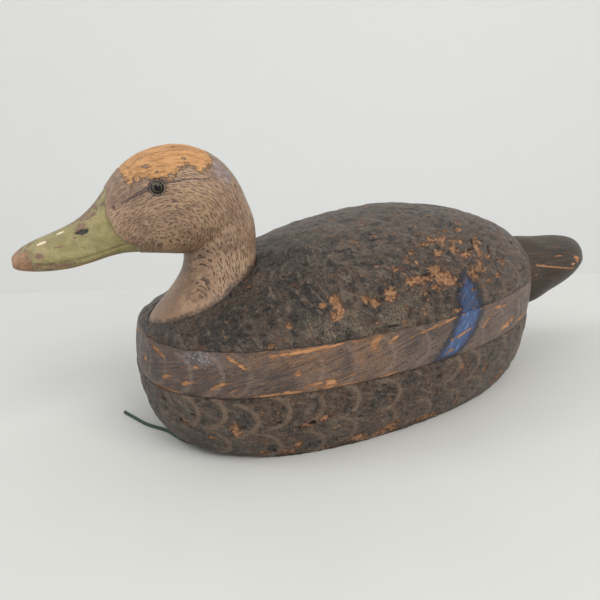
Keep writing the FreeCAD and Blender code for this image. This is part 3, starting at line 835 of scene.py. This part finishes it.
def carve_tail(piece):
    places, normals = read_skin(piece)
    x, y, z = (places / MM).T
    ragged = (grain(places, (7, 2.4, 2.4), 451, 3) - 0.5) * 0.9
    crease = line_field(z, x, TAIL_CREASE)
    reach = -tail_low.x / MM
    tip = rise(-x, reach - 9, reach - 1.5) * (1 - rise(z, 84, 92)) * 0.57
    bare = np.maximum(paired_blobs(places, TAIL_RUBS, ragged * 2.2 - 0.1, 6), tip + ragged * 1.2)
    depth = (grain(places, (30, 8, 8), 455, 2) - 0.5) * 0.35 - 0.2 * rise(bare, 0.48, 0.58)
    free = rise(-x, 150, 158)
    carve(piece, places, normals, np.minimum(depth, 0.2) * free * MM)
    note(piece, bare=bare, crease=crease)


carve_tail(tail)
print("tail from", round(tail_low.x / MM), "to", round(tail_high.x / MM), "mm")

# %% [markdown]
# ## Mixing materials
# Every finish here is layered in the same order as on the real duck: wood or cork at the bottom,
# then paint, then wear and dirt. A small recipe class keeps that readable. Each of its methods adds
# one node and hands back its output. Colours are written as a paint chart would give them, from 0
# to 255, and turned into linear light.


# %% Recipe
def tint(r, g, b):
    """A screen colour as linear light, with full opacity."""
    linear = [c / 255 / 12.92 if c <= 10 else ((c / 255 + 0.055) / 1.055) ** 2.4 for c in (r, g, b)]
    return (*linear, 1.0)


class Recipe:
    """One node material; each method adds a node and returns its output."""

    def __init__(self, name):
        self.material = bpy.data.materials.new(name)
        self.material.use_nodes = True
        self.tree = self.material.node_tree
        self.shader = self.tree.nodes["Principled BSDF"]
        self.place = self.vector("SCALE", self.add("TexCoord", out="Object"), scale=1000.0)

    def feed(self, socket, value):
        if isinstance(value, bpy.types.NodeSocket):
            self.tree.links.new(value, socket)
        else:
            socket.default_value = value

    def add(self, kind, out=0, settings=None, **inputs):
        node = self.tree.nodes.new("ShaderNode" + kind)
        for key, value in (settings or {}).items():
            setattr(node, key, value)
        for key, value in inputs.items():
            self.feed(node.inputs[key.replace("_", " ")], value)
        return node.outputs[out]

    def math(self, operation, a, b=0.0):
        node = self.tree.nodes.new("ShaderNodeMath")
        node.operation = operation
        self.feed(node.inputs[0], a)
        self.feed(node.inputs[1], b)
        return node.outputs[0]

    def times(self, a, b):
        return self.math("MULTIPLY", a, b)

    def vector(self, operation, a, b=None, scale=None, out=0):
        node = self.tree.nodes.new("ShaderNodeVectorMath")
        node.operation = operation
        self.feed(node.inputs[0], a)
        if b is not None:
            self.feed(node.inputs[1], b)
        if scale is not None:
            node.inputs["Scale"].default_value = scale
        return node.outputs[out]

    def mix(self, amount, a, b):
        node = self.tree.nodes.new("ShaderNodeMix")
        node.data_type = "RGBA"
        self.feed(node.inputs[0], amount)
        self.feed(node.inputs[6], a)
        self.feed(node.inputs[7], b)
        return node.outputs[2]

    def noise(self, size, detail=3.0, roughness=0.6, place=None):
        """Noise with features about size millimetres across."""
        return self.add(
            "TexNoise", Vector=place or self.place, Scale=1.0 / size, Detail=detail, Roughness=roughness
        )

    def mark(self, name, out="Fac"):
        return self.add("Attribute", out=out, settings={"attribute_name": name})

    def edge(self, value, low, high, start=0.0, end=1.0):
        node = self.tree.nodes.new("ShaderNodeMapRange")
        node.interpolation_type = "SMOOTHSTEP"
        for socket, v in zip(node.inputs, (value, low, high, start, end)):
            self.feed(socket, v)
        return node.outputs[0]

    def coat(self, under, over, field, low, high, strength=1.0):
        """One colour laid over another where a field goes from low to high."""
        return self.mix(self.edge(field, low, high, 0.0, strength), under, over)

    def roughened(self, value, noise, amount):
        """A field with its edges broken up by noise."""
        return self.math("ADD", value, self.times(self.math("SUBTRACT", noise, 0.5), amount))

    def torn(self, name, noise, amount, low, high, strength=1.0):
        """A mark with a ragged edge: 0 where the broken-up field is low, strength where it is high."""
        return self.edge(self.roughened(self.mark(name), noise, amount), low, high, 0.0, strength)

    def stretch(self, place, along, across, turn=0.0):
        """Coordinates squeezed so that noise becomes streaks; turn is in degrees in the X-Z plane."""
        return self.add(
            "Mapping", Vector=place, Rotation=(0.0, math.radians(turn), 0.0),
            Scale=(along, across, across), settings={"vector_type": "TEXTURE"},
        )

    def finish(self, colour, roughness, height, depth):
        self.feed(self.shader.inputs["Base Color"], colour)
        self.feed(self.shader.inputs["Roughness"], roughness)
        bump = self.add("Bump", Strength=1.0, Distance=depth * MM, Height=height)
        self.feed(self.shader.inputs["Normal"], bump)
        return self.material


# %% [markdown]
# ## Painted cork
# Flat oil paint on cork goes on thin, so the cork's grain shows as a fine pebbled skin. The colour
# is a warm near-black, browner towards the tail, with painted shade in the hollows between the
# granules. The upward faces of the back carry a pale painted highlight, and the back is darker in
# patches round the foot of the neck. Feather loops are brushed over it in a thin grey-brown. Where
# the paint has gone the cork is orange, with dark pores. A mark that a part doesn't have reads as 0,
# so the bottom layer shares this material and has no painted highlight, no dark patches and no blue.

# %% Painted cork
def cork_colour(mix):
    cells = mix.add("TexVoronoi", out="Distance", Vector=mix.place, Scale=0.55, Randomness=1.0)
    tone = mix.noise(2.2, 4.0, 0.7)
    colour = mix.coat(tint(134, 92, 62), tint(184, 138, 98), tone, 0.38, 0.62)
    colour = mix.coat(colour, tint(116, 70, 44), cells, 0.62, 0.95, 0.6)
    pores = mix.noise(0.9, 2.0, 0.5)
    return mix.coat(colour, tint(58, 36, 26), pores, 0.57, 0.66, 0.8)


def speculum_over(mix, colour, rubbed):
    """Blue paint with a painted highlight along its middle, darker at its edges."""
    field = mix.mark("blue")
    brushed = mix.noise(1.0, 4.0, 0.7, mix.stretch(mix.mark("lay", "Vector"), 9.0, 1.6, -50))
    patchy = mix.noise(3.0, 5.0, 0.75)
    broken = mix.roughened(mix.roughened(field, brushed, 1.0), patchy, 0.9)
    body = mix.coat(colour, tint(22, 22, 28), broken, 0.25, 0.62, 0.85)
    blue = mix.coat(tint(26, 33, 60), tint(52, 74, 116), broken, 0.75, 1.35)
    # Painted highlight: a paler streak along the middle of the blue patch.
    painted_highlight = mix.times(mix.edge(brushed, 0.52, 0.64), mix.edge(field, 0.9, 1.4))
    blue = mix.mix(painted_highlight, blue, tint(92, 122, 164))
    amount = mix.times(mix.edge(broken, 0.55, 1.05), mix.math("SUBTRACT", 1.0, rubbed))
    return mix.mix(mix.times(amount, 0.95), body, blue)


def painted_cork():
    mix = Recipe("painted_cork")
    broad = mix.noise(26, 3.0)
    fine = mix.noise(1.5, 5.0, 0.75)
    grit = mix.noise(0.8, 3.0, 0.7)
    patchy = mix.noise(6.5, 5.0, 0.7)
    granule = mix.mark("granule")
    colour = mix.coat(tint(52, 45, 39), tint(77, 64, 54), broad, 0.4, 0.6)
    brown = mix.times(mix.mark("brown"), mix.edge(patchy, 0.36, 0.56, 0.3, 1.0))
    colour = mix.mix(brown, colour, tint(83, 63, 49))
    # Painted highlight: the upward faces of the back are lightened.
    bleach = mix.times(mix.mark("bleach"), mix.edge(patchy, 0.42, 0.58, 0.1, 0.5))
    colour = mix.mix(bleach, colour, tint(107, 94, 82))
    # Darker in patches round the foot of the neck.
    colour = mix.mix(mix.times(mix.mark("sooty"), 0.75), colour, tint(33, 29, 28))
    scuffs = mix.noise(1.0, 5.0, 0.7, mix.stretch(mix.mark("lay", "Vector"), 13, 2.6, 24))
    colour = mix.coat(colour, tint(128, 112, 95), scuffs, 0.52, 0.61, 0.7)
    colour = mix.coat(colour, tint(25, 21, 20), patchy, 0.48, 0.38, 0.85)
    # Where the granules dip the paint is darker: painted shade in the hollows.
    colour = mix.coat(colour, tint(23, 18, 17), granule, -0.05, -0.45, 0.7)
    colour = mix.coat(colour, tint(116, 99, 84), fine, 0.53, 0.62, 0.65)
    colour = mix.coat(colour, tint(23, 18, 17), fine, 0.47, 0.36, 0.8)
    clots = mix.noise(3.4, 4.0, 0.7)
    colour = mix.coat(colour, tint(128, 117, 104), clots, 0.53, 0.6, 0.2)
    colour = mix.coat(colour, tint(26, 22, 19), clots, 0.46, 0.39, 0.3)
    crust = mix.times(mix.mark("crust"), mix.edge(grit, 0.46, 0.58))
    colour = mix.mix(mix.times(crust, 0.85), colour, tint(144, 129, 109))
    loops = mix.times(mix.mark("loops"), mix.edge(mix.noise(2.4, 4.0, 0.7), 0.34, 0.5, 0.4, 1.0))
    colour = mix.mix(loops, colour, tint(124, 103, 85))
    chip_noise = mix.noise(2.2, 6.0, 0.75)
    bare = mix.roughened(mix.roughened(mix.mark("bare"), chip_noise, 1.7), mix.noise(0.9, 3.0, 0.7), 0.6)
    bare = mix.edge(bare, 0.5, 0.55)
    crumbs = mix.math("ADD", mix.noise(3.2, 6.0, 0.8), mix.times(mix.mark("worn"), 0.07))
    crumbs = mix.edge(crumbs, 0.712, 0.73)
    bare = mix.math("MAXIMUM", bare, crumbs)
    colour = speculum_over(mix, colour, bare)
    stain = mix.torn("bare", mix.noise(5, 4.0), 1.2, 0.3, 0.56, 0.6)
    colour = mix.mix(stain, colour, tint(99, 65, 44))
    colour = mix.mix(bare, colour, cork_colour(mix))
    pit = mix.torn("pit", fine, 1.7, 0.5, 0.6)
    colour = mix.mix(mix.times(pit, 0.95), colour, tint(16, 11, 9))
    shine = mix.edge(patchy, 0.4, 0.6, 0.3, 0.58)
    rough = mix.math("ADD", shine, mix.times(bare, 0.3))
    height = mix.math("ADD", mix.times(fine, 0.7), mix.times(patchy, 1.2))
    height = mix.math("ADD", height, mix.times(grit, 0.25))
    height = mix.math("SUBTRACT", height, mix.times(bare, 0.12))
    return mix.finish(colour, rough, height, 4.0)


cork_finish = painted_cork()

# %% [markdown]
# ## Painted board
# Pine takes paint as a smoother coat, a shade warmer than the cork. Scratches run up towards the
# tail at a slant, and each one is a thin line of bare wood. A pale painted highlight lies along the
# top edge near the breast.

# %% Painted board
def pine_colour(mix, place, pale, deep):
    rings = mix.noise(1.0, 4.0, 0.6, mix.stretch(place, 26, 1.6))
    specks = mix.noise(0.8, 3.0)
    colour = mix.coat(deep, pale, rings, 0.38, 0.6)
    return mix.coat(colour, tint(112, 66, 36), specks, 0.58, 0.68, 0.5)


def painted_board():
    mix = Recipe("painted_board")
    lay = mix.mark("lay", "Vector")
    broad = mix.noise(20, 3.0)
    fine = mix.noise(1.2, 5.0, 0.75)
    brushed = mix.noise(1.0, 5.0, 0.7, mix.stretch(lay, 16, 1.8, -14))
    patchy = mix.noise(6.0, 5.0, 0.7)
    colour = mix.coat(tint(67, 55, 51), tint(92, 76, 68), broad, 0.4, 0.6)
    brown = mix.times(mix.mark("brown"), mix.edge(patchy, 0.38, 0.58, 0.3, 0.9))
    colour = mix.mix(brown, colour, tint(122, 90, 64))
    colour = mix.coat(colour, tint(112, 91, 76), brushed, 0.51, 0.62, 0.55)
    colour = mix.coat(colour, tint(42, 34, 33), brushed, 0.48, 0.39, 0.75)
    colour = mix.coat(colour, tint(34, 28, 27), fine, 0.47, 0.38, 0.75)
    loops = mix.times(mix.mark("loops"), mix.edge(mix.noise(2.4, 4.0, 0.7), 0.36, 0.56, 0.3, 1.0))
    colour = mix.mix(mix.times(loops, 0.72), colour, tint(122, 103, 88))
    # Painted highlight: a pale blue-grey patch on the board's top edge near the breast.
    sheen = mix.times(mix.mark("sheen"), mix.edge(mix.noise(2.0, 5.0, 0.75), 0.44, 0.6))
    colour = mix.mix(mix.times(sheen, 0.75), colour, tint(144, 141, 147))
    slanting = mix.noise(1.0, 5.0, 0.75, mix.stretch(lay, 5, 1.3, -16))
    chips = mix.torn("bare", slanting, 1.1, 0.5, 0.56)
    scratches = mix.noise(1.0, 5.0, 0.7, mix.stretch(lay, 17, 0.85, -27))
    scored = mix.times(mix.edge(scratches, 0.56, 0.62, 0.0, 0.85), mix.mark("scratch"))
    flecks = mix.times(mix.edge(mix.noise(2.6, 6.0, 0.8), 0.63, 0.66), 0.85)
    bare = mix.math("MAXIMUM", mix.math("MAXIMUM", chips, scored), flecks)
    colour = speculum_over(mix, colour, bare)
    stain = mix.torn("bare", brushed, 1.2, 0.32, 0.56, 0.6)
    colour = mix.mix(stain, colour, tint(124, 86, 58))
    colour = mix.mix(bare, colour, pine_colour(mix, lay, tint(182, 130, 86), tint(134, 92, 60)))
    rough = mix.math("ADD", mix.edge(patchy, 0.4, 0.6, 0.34, 0.52), mix.times(bare, 0.25))
    height = mix.math("ADD", mix.times(fine, 0.5), mix.times(brushed, 1.0))
    height = mix.math("SUBTRACT", height, mix.times(bare, 0.15))
    return mix.finish(colour, rough, height, 1.8)


board_finish = painted_board()

# %% [markdown]
# ## Painted head
# The head is a buff brown with short dark strokes, combed back over the cheek and down the neck.
# Each stroke is made in the material: a Voronoi texture scatters one point in each cell, and the
# distance to that point is squeezed until a round dot becomes a dash. The bill is olive, worn to
# wood at the nail. A pale blue-grey painted reflection sits at the back of the crown.

# %% Painted head
def dashes(mix, cell, length, width, wander=0.6):
    """Short strokes along the comb direction; sizes in millimetres."""
    comb = mix.mark("comb", "Vector")
    drift = mix.add("TexNoise", out="Color", Vector=comb, Scale=0.12)
    comb = mix.vector("ADD", comb, mix.vector("MULTIPLY", drift, (4.0 * wander, 3.0 * wander, 0.0)))
    scaled = mix.vector("MULTIPLY", comb, (1 / (cell * 1.5), 1 / cell, 0.0))
    cells = mix.tree.nodes.new("ShaderNodeTexVoronoi")
    cells.voronoi_dimensions = "2D"
    mix.feed(cells.inputs["Vector"], scaled)
    cells.inputs["Scale"].default_value = 1.0
    away = mix.vector("SUBTRACT", scaled, cells.outputs["Position"])
    away = mix.vector("MULTIPLY", away, (cell * 1.5 / length, cell / width, 0.0))
    reach = mix.vector("LENGTH", away, out="Value")
    return mix.edge(reach, 1.1, 0.55)


def painted_head():
    mix = Recipe("painted_head")
    broad, fine = mix.noise(18, 3.0), mix.noise(0.9, 4.0, 0.7)
    patchy = mix.noise(5.0, 5.0, 0.7)
    colour = mix.coat(tint(129, 101, 79), tint(151, 122, 96), broad, 0.4, 0.6)
    colour = mix.coat(colour, tint(169, 144, 118), patchy, 0.5, 0.64, 0.45)
    colour = mix.coat(colour, tint(98, 75, 61), patchy, 0.48, 0.36, 0.35)
    combed = mix.noise(1.0, 4.0, 0.7, mix.stretch(mix.mark("comb", "Vector"), 8.0, 0.8))
    combing = mix.times(mix.edge(combed, 0.53, 0.63), mix.mark("flecks"))
    colour = mix.mix(mix.times(combing, 0.45), colour, tint(95, 71, 53))
    golden = mix.times(mix.mark("golden"), mix.edge(mix.noise(2.5, 5.0, 0.7), 0.4, 0.58))
    colour = mix.mix(mix.times(golden, 0.65), colour, tint(154, 124, 87))
    colour = mix.coat(colour, tint(88, 66, 52), fine, 0.54, 0.68, 0.4)
    small_strokes = mix.times(dashes(mix, 2.3, 1.0, 0.17, 0.8), 0.8)
    strokes = mix.math("MAXIMUM", dashes(mix, 1.8, 1.4, 0.22), small_strokes)
    strokes = mix.times(strokes, mix.mark("flecks"))
    colour = mix.mix(mix.times(strokes, 0.95), colour, tint(43, 30, 25))
    # Painted reflection at the back of the crown, broken into patches.
    highlight_patches = mix.edge(mix.noise(1.8, 5.0, 0.75), 0.42, 0.6)
    sheen = mix.times(mix.edge(mix.mark("sheen"), 0.3, 0.7), highlight_patches)
    colour = mix.mix(mix.times(sheen, 0.7), colour, tint(133, 129, 141))
    dark = mix.torn("dark", fine, 0.7, 0.46, 0.62)
    colour = mix.mix(mix.times(dark, 0.85), colour, tint(61, 44, 38))
    foot = mix.torn("foot", patchy, 1.8, 0.4, 0.8, 0.85)
    colour = mix.mix(foot, colour, tint(60, 48, 41))
    crumbled = mix.edge(mix.noise(2.2, 6.0, 0.8), 0.58, 0.61)
    crumbs = mix.times(mix.edge(mix.mark("foot"), 0.25, 0.6), crumbled)
    colour = mix.mix(mix.times(crumbs, 0.8), colour, tint(158, 114, 77))

    bill_noise = mix.noise(8, 5.0, 0.65)
    olive = mix.coat(tint(118, 108, 64), tint(137, 126, 81), bill_noise, 0.4, 0.6)
    olive = mix.coat(olive, tint(104, 95, 58), fine, 0.52, 0.64, 0.45)
    streaks = mix.noise(1.0, 4.0, 0.7, mix.stretch(mix.place, 14, 1.2, -22))
    olive = mix.coat(olive, tint(96, 85, 52), streaks, 0.54, 0.68, 0.55)
    rubbed = mix.torn("rubbed", mix.noise(1.6, 5.0, 0.75), 1.2, 0.5, 0.57)
    olive = mix.mix(rubbed, olive, tint(104, 75, 56))
    pale = mix.torn("pale", mix.noise(1.4, 5.0, 0.75), 0.9, 0.5, 0.56)
    olive = mix.mix(pale, olive, tint(208, 189, 162))
    olive = mix.mix(mix.times(mix.mark("groove"), 0.45), olive, tint(81, 77, 42))
    nostril = mix.torn("nostril", fine, 0.6, 0.46, 0.54)
    olive = mix.mix(nostril, olive, tint(29, 28, 25))
    border = mix.mark("bill")
    colour = mix.coat(colour, olive, border, 0.49, 0.53)
    rim = mix.times(mix.edge(border, 0.38, 0.47), mix.edge(border, 0.6, 0.51))
    colour = mix.mix(mix.times(rim, 0.6), colour, tint(81, 81, 44))

    worn = mix.roughened(mix.mark("bare"), mix.noise(2.0, 6.0, 0.8), 2.2)
    scuffed = mix.times(mix.edge(worn, 0.24, 0.5), mix.edge(border, 0.5, 0.6))
    colour = mix.mix(mix.times(scuffed, 0.8), colour, tint(100, 75, 56))
    rim = mix.times(mix.edge(worn, 0.33, 0.45), mix.edge(border, 0.5, 0.4))
    colour = mix.mix(mix.times(rim, 0.85), colour, tint(69, 48, 37))
    bare = mix.edge(worn, 0.5, 0.54)
    wood = pine_colour(mix, mix.place, tint(185, 135, 83), tint(146, 103, 59))
    along = mix.add("SeparateXYZ", Vector=mix.place)
    nail = mix.coat(tint(108, 77, 54), tint(145, 108, 81), patchy, 0.4, 0.56)
    wood = mix.coat(wood, nail, along, 192, 204, 0.9)
    colour = mix.mix(bare, colour, wood)
    rough = mix.math("ADD", mix.edge(patchy, 0.4, 0.6, 0.32, 0.5), mix.times(bare, 0.12))
    height = mix.math("ADD", mix.times(fine, 0.5), mix.times(patchy, 0.9))
    height = mix.math("SUBTRACT", height, mix.times(bare, 0.15))
    height = mix.math("SUBTRACT", height, mix.times(strokes, 0.15))
    return mix.finish(colour, rough, height, 0.9)


head_finish = painted_head()


# %% [markdown]
# ## Painted tail
# The tail has the board's brown over pine, with grain running from root to tip.

# %% Painted tail
def painted_tail():
    mix = Recipe("painted_tail")
    mix.shader.inputs["Specular IOR Level"].default_value = 0.3
    grainy = mix.noise(1.0, 5.0, 0.65, mix.stretch(mix.place, 30, 1.8))
    fine = mix.noise(1.1, 4.0, 0.7)
    broad = mix.noise(14, 3.0)
    colour = mix.coat(tint(37, 27, 19), tint(50, 38, 26), broad, 0.4, 0.6)
    colour = mix.coat(colour, tint(77, 57, 40), grainy, 0.52, 0.64, 0.6)
    colour = mix.coat(colour, tint(28, 20, 16), grainy, 0.47, 0.36, 0.6)
    crease = mix.torn("crease", mix.noise(3, 5.0, 0.7), 1.2, 0.5, 0.7, 0.7)
    colour = mix.mix(crease, colour, tint(152, 106, 72))
    bare = mix.torn("bare", mix.noise(1.8, 6.0, 0.75), 1.2, 0.5, 0.57)
    colour = mix.mix(bare, colour, pine_colour(mix, mix.place, tint(169, 116, 74), tint(124, 80, 49)))
    rough = mix.math("ADD", mix.edge(broad, 0.3, 0.7, 0.36, 0.48), mix.times(bare, 0.25))
    height = mix.math("ADD", mix.times(grainy, 0.9), mix.times(fine, 0.3))
    return mix.finish(colour, rough, height, 0.4)


tail_finish = painted_tail()
for piece, finish in (
    (cork_back, cork_finish), (cork_bottom, cork_finish), (centre_board, board_finish),
    (head, head_finish), (tail, tail_finish),
):
    piece.data.materials.append(finish)

# %% [markdown]
# ## Small parts
# The fastenings, eyes and ballast already have their right shape in the CAD, so they stay and only
# get a finish: brass gone brown, steel with rust, dull lead, oak dowels, and glass eyes set in
# putty.


# %% Metal, lead and dowel
def worn_metal(name, clean, tarnish, metallic, smooth, dull):
    mix = Recipe(name)
    spots, fine = mix.noise(2.2, 5.0, 0.7), mix.noise(0.5, 3.0)
    colour = mix.coat(clean, tarnish, spots, 0.38, 0.66)
    colour = mix.coat(colour, tint(40, 28, 22), fine, 0.6, 0.8, 0.4)
    mix.shader.inputs["Metallic"].default_value = metallic
    rough = mix.edge(spots, 0.3, 0.7, smooth, dull)
    return mix.finish(colour, rough, mix.math("ADD", spots, fine), 0.12)


def bare_dowel():
    mix = Recipe("bare_dowel")
    wood = pine_colour(mix, mix.place, tint(196, 150, 102), tint(150, 104, 66))
    dirt = mix.noise(3, 4.0)
    wood = mix.coat(wood, tint(92, 70, 52), dirt, 0.5, 0.75, 0.6)
    return mix.finish(wood, mix.edge(dirt, 0.3, 0.7, 0.6, 0.8), dirt, 0.3)


def eye_putty():
    mix = Recipe("dark_putty")
    crumbs, fine = mix.noise(1.2, 4.0), mix.noise(0.4, 3.0)
    colour = mix.coat(tint(50, 42, 38), tint(96, 82, 72), crumbs, 0.35, 0.65)
    return mix.finish(colour, mix.edge(crumbs, 0.3, 0.7, 0.5, 0.7), mix.math("ADD", crumbs, fine), 0.25)


def eye_coat(name, inner, outer, rough_low, rough_high):
    mix = Recipe(name)
    rays, fine = mix.noise(0.7, 4.0, 0.7), mix.noise(0.25, 3.0)
    colour = mix.coat(inner, outer, rays, 0.35, 0.65)
    return mix.finish(colour, mix.edge(rays, 0.3, 0.7, rough_low, rough_high), fine, 0.03)


def eye_glass(side):
    """A glass eye painted from behind: black pupil, hazel ring, darker rim, and a clear coat over them."""
    low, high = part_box(f"{side}_eye_glass")
    middle = (low + high) / 2 / MM
    mix = Recipe(f"{side}_eye_glass")
    rays, fine = mix.noise(0.6, 4.0, 0.7), mix.noise(0.25, 3.0)
    off = mix.vector("MULTIPLY", mix.vector("SUBTRACT", mix.place, tuple(middle)), (1.0, 0.0, 1.0))
    ring = mix.roughened(mix.vector("LENGTH", off, out="Value"), rays, 0.5)
    iris = mix.coat(tint(50, 47, 38), tint(92, 88, 72), rays, 0.4, 0.6)
    colour = mix.coat(tint(6, 6, 7), iris, ring, 1.8, 2.1)
    colour = mix.coat(colour, tint(30, 27, 22), ring, 2.5, 3.3, 0.85)
    mix.shader.inputs["Coat Weight"].default_value = 0.15
    mix.shader.inputs["Coat Roughness"].default_value = 0.03
    mix.shader.inputs["Specular IOR Level"].default_value = 0.16
    return mix.finish(colour, mix.edge(rays, 0.3, 0.7, 0.05, 0.12), fine, 0.002)


brass = worn_metal("tarnished_brass", tint(176, 140, 78), tint(92, 68, 42), 1.0, 0.28, 0.5)
steel = worn_metal("rusted_steel", tint(128, 122, 116), tint(96, 60, 42), 0.85, 0.38, 0.66)
lead = worn_metal("dull_lead", tint(112, 113, 116), tint(78, 78, 80), 0.7, 0.5, 0.68)
dowel = bare_dowel()
SMALL_FINISHES = {
    "back_dowels": dowel, "neck_dowel": dowel,
    "bottom_screws": brass, "bottom_washers": brass, "tail_screws": brass, "screw_eye": brass,
    "head_screw": steel, "head_screw_washer": steel, "ballast_screws": steel, "eye_wire": steel,
    "ballast_weight": lead,
    "eye_putty": eye_putty(), "left_eye_glass": eye_glass("left"), "right_eye_glass": eye_glass("right"),
    "eye_iris": eye_coat("hazel_iris", tint(96, 88, 66), tint(146, 136, 106), 0.3, 0.45),
    "eye_pupil": eye_coat("black_pupil", tint(8, 8, 9), tint(16, 15, 15), 0.2, 0.3),
}


def finish_for(node):
    for key, material in SMALL_FINISHES.items():
        if node == key or node.endswith(key):
            return material
    return None


stand_for = {name for piece in bpy.context.scene.objects for name in piece.get("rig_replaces", [])}
for name, node in frame["nodes"].items():
    if name in stand_for:
        continue
    material = finish_for(name)
    if material:
        node.data.materials.clear()
        node.data.materials.append(material)
    else:
        print(name, "gets its finish with the line, below")

# %% [markdown]
# ## Line finish
# Braided nylon or cotton tarred green: nearly black in the valleys and green on the strands. The
# cut end was melted, so it is a small glossy bead of the same green, darker from the flame.


# %% Line finish
def green_braid(name, dark, light, rough_low, rough_high):
    mix = Recipe(name)
    fibres, worn = mix.noise(0.35, 4.0, 0.7), mix.noise(6, 3.0)
    colour = mix.coat(dark, light, fibres, 0.3, 0.7)
    colour = mix.coat(colour, tint(74, 88, 74), worn, 0.5, 0.75, 0.4)
    return mix.finish(colour, mix.edge(fibres, 0.3, 0.7, rough_low, rough_high), fibres, 0.12)


braid = green_braid("tarred_green_braid", tint(14, 28, 24), tint(38, 72, 58), 0.55, 0.75)
melted = green_braid("melted_line_end", tint(64, 60, 52), tint(104, 98, 86), 0.3, 0.45)
for piece in (anchor_line, tied_loop, knot):
    piece.data.materials.append(braid)
end_node = frame["nodes"]["anchor_line_end"]
end_node.data.materials.clear()
end_node.data.materials.append(melted)

# %% [markdown]
# ## Floor, wall and light
# A pale painted shelf, with a wall well behind its far edge, so that the duck can be looked at from
# every side. The main light is a broad soft lamp behind the camera on its right. A weak sun with a
# wide disc and the room's own light fill the rest.

# %% Floor and wall
stand = camera.location.copy()
stand.z = 0
look = Vector((forward.x, forward.y, 0)).normalized()
across = Vector((look.y, -look.x, 0))
NEAR_EDGE, SHELF_EDGE, WALL_DISTANCE, HALF_SPAN, WALL_REACH = -1.6, 0.672, 2.2, 1.7, 1.6


def studio_sheet(name, profile, material):
    """A sheet as wide as the room, following a profile of (distance ahead, height)."""
    verts = []
    for ahead_by, height in profile:
        for side in (-HALF_SPAN, HALF_SPAN):
            verts.append(stand + look * ahead_by + across * side + Vector((0, 0, height)))
    faces = [(2 * i, 2 * i + 1, 2 * i + 3, 2 * i + 2) for i in range(len(profile) - 1)]
    mesh = bpy.data.meshes.new(name)
    mesh.from_pydata(verts, [], faces)
    mesh.materials.append(material)
    mesh.shade_smooth()
    sheet = bpy.data.objects.new(name, mesh)
    bpy.context.scene.collection.objects.link(sheet)


def pale_paint(name, low, high):
    mix = Recipe(name)
    cloudy, fine = mix.noise(90, 2.0), mix.noise(1.5, 3.0)
    colour = mix.mix(cloudy, low, high)
    return mix.finish(colour, mix.edge(cloudy, 0.3, 0.7, 0.55, 0.7), fine, 0.05)


floor_paint = pale_paint("floor_paint", tint(182, 182, 179), tint(186, 186, 183))
wall_paint = pale_paint("wall_paint", tint(202, 203, 201), tint(205, 206, 204))
studio_sheet("floor", [(NEAR_EDGE, 0.0), (SHELF_EDGE, 0.0)], floor_paint)
studio_sheet("wall", [(WALL_DISTANCE, -WALL_REACH), (WALL_DISTANCE, WALL_REACH)], wall_paint)


# %% Lights
SUN_STRENGTH, SUN_DISC, SUN_SHINES = 0.5, math.radians(60), Vector((-0.8, 0.1, -1.15))
SUN_WHITE, WARM_WHITE, COOL_WHITE = (1.0, 0.985, 0.96), (1.0, 0.985, 0.955), (0.93, 0.96, 1.0)
FILL_WATTS, WINDOW_WATTS = 37.0, 10.0
ROOM_GREY, ROOM_STRENGTH = (0.945, 0.95, 0.945, 1.0), 0.94


def soft_box(name, place, aim, size, watts, colour):
    light = bpy.data.lights.new(name, "AREA")
    light.shape = "RECTANGLE"
    light.size = light.size_y = size
    light.energy = watts
    light.color = colour
    lamp = bpy.data.objects.new(name, light)
    bpy.context.scene.collection.objects.link(lamp)
    lamp.location = place
    lamp.rotation_mode = "QUATERNION"
    lamp.rotation_quaternion = (Vector(aim) - Vector(place)).to_track_quat("-Z", "Y")


key = bpy.data.lights.new("key", "SUN")
key.energy = SUN_STRENGTH
key.angle = SUN_DISC
key.color = SUN_WHITE
key_lamp = bpy.data.objects.new("key", key)
bpy.context.scene.collection.objects.link(key_lamp)
key_lamp.rotation_mode = "QUATERNION"
key_lamp.rotation_quaternion = SUN_SHINES.to_track_quat("-Z", "Y")
behind_right = stand - look * 0.9 + across * 1.2 + Vector((0, 0, 1.5))
left = stand + look * 0.4 - across * 1.6 + Vector((0, 0, 1.7))
soft_box("fill", behind_right, (0, 0, 0.06), 1.4, FILL_WATTS, WARM_WHITE)
soft_box("window", left, (0.02, 0, 0.1), 0.7, WINDOW_WATTS, COOL_WHITE)
world = bpy.data.worlds.new("room")
bpy.context.scene.world = world
world.use_nodes = True
background = world.node_tree.nodes["Background"]
background.inputs["Color"].default_value = ROOM_GREY
background.inputs["Strength"].default_value = ROOM_STRENGTH
bpy.context.scene.view_settings.view_transform = "Standard"
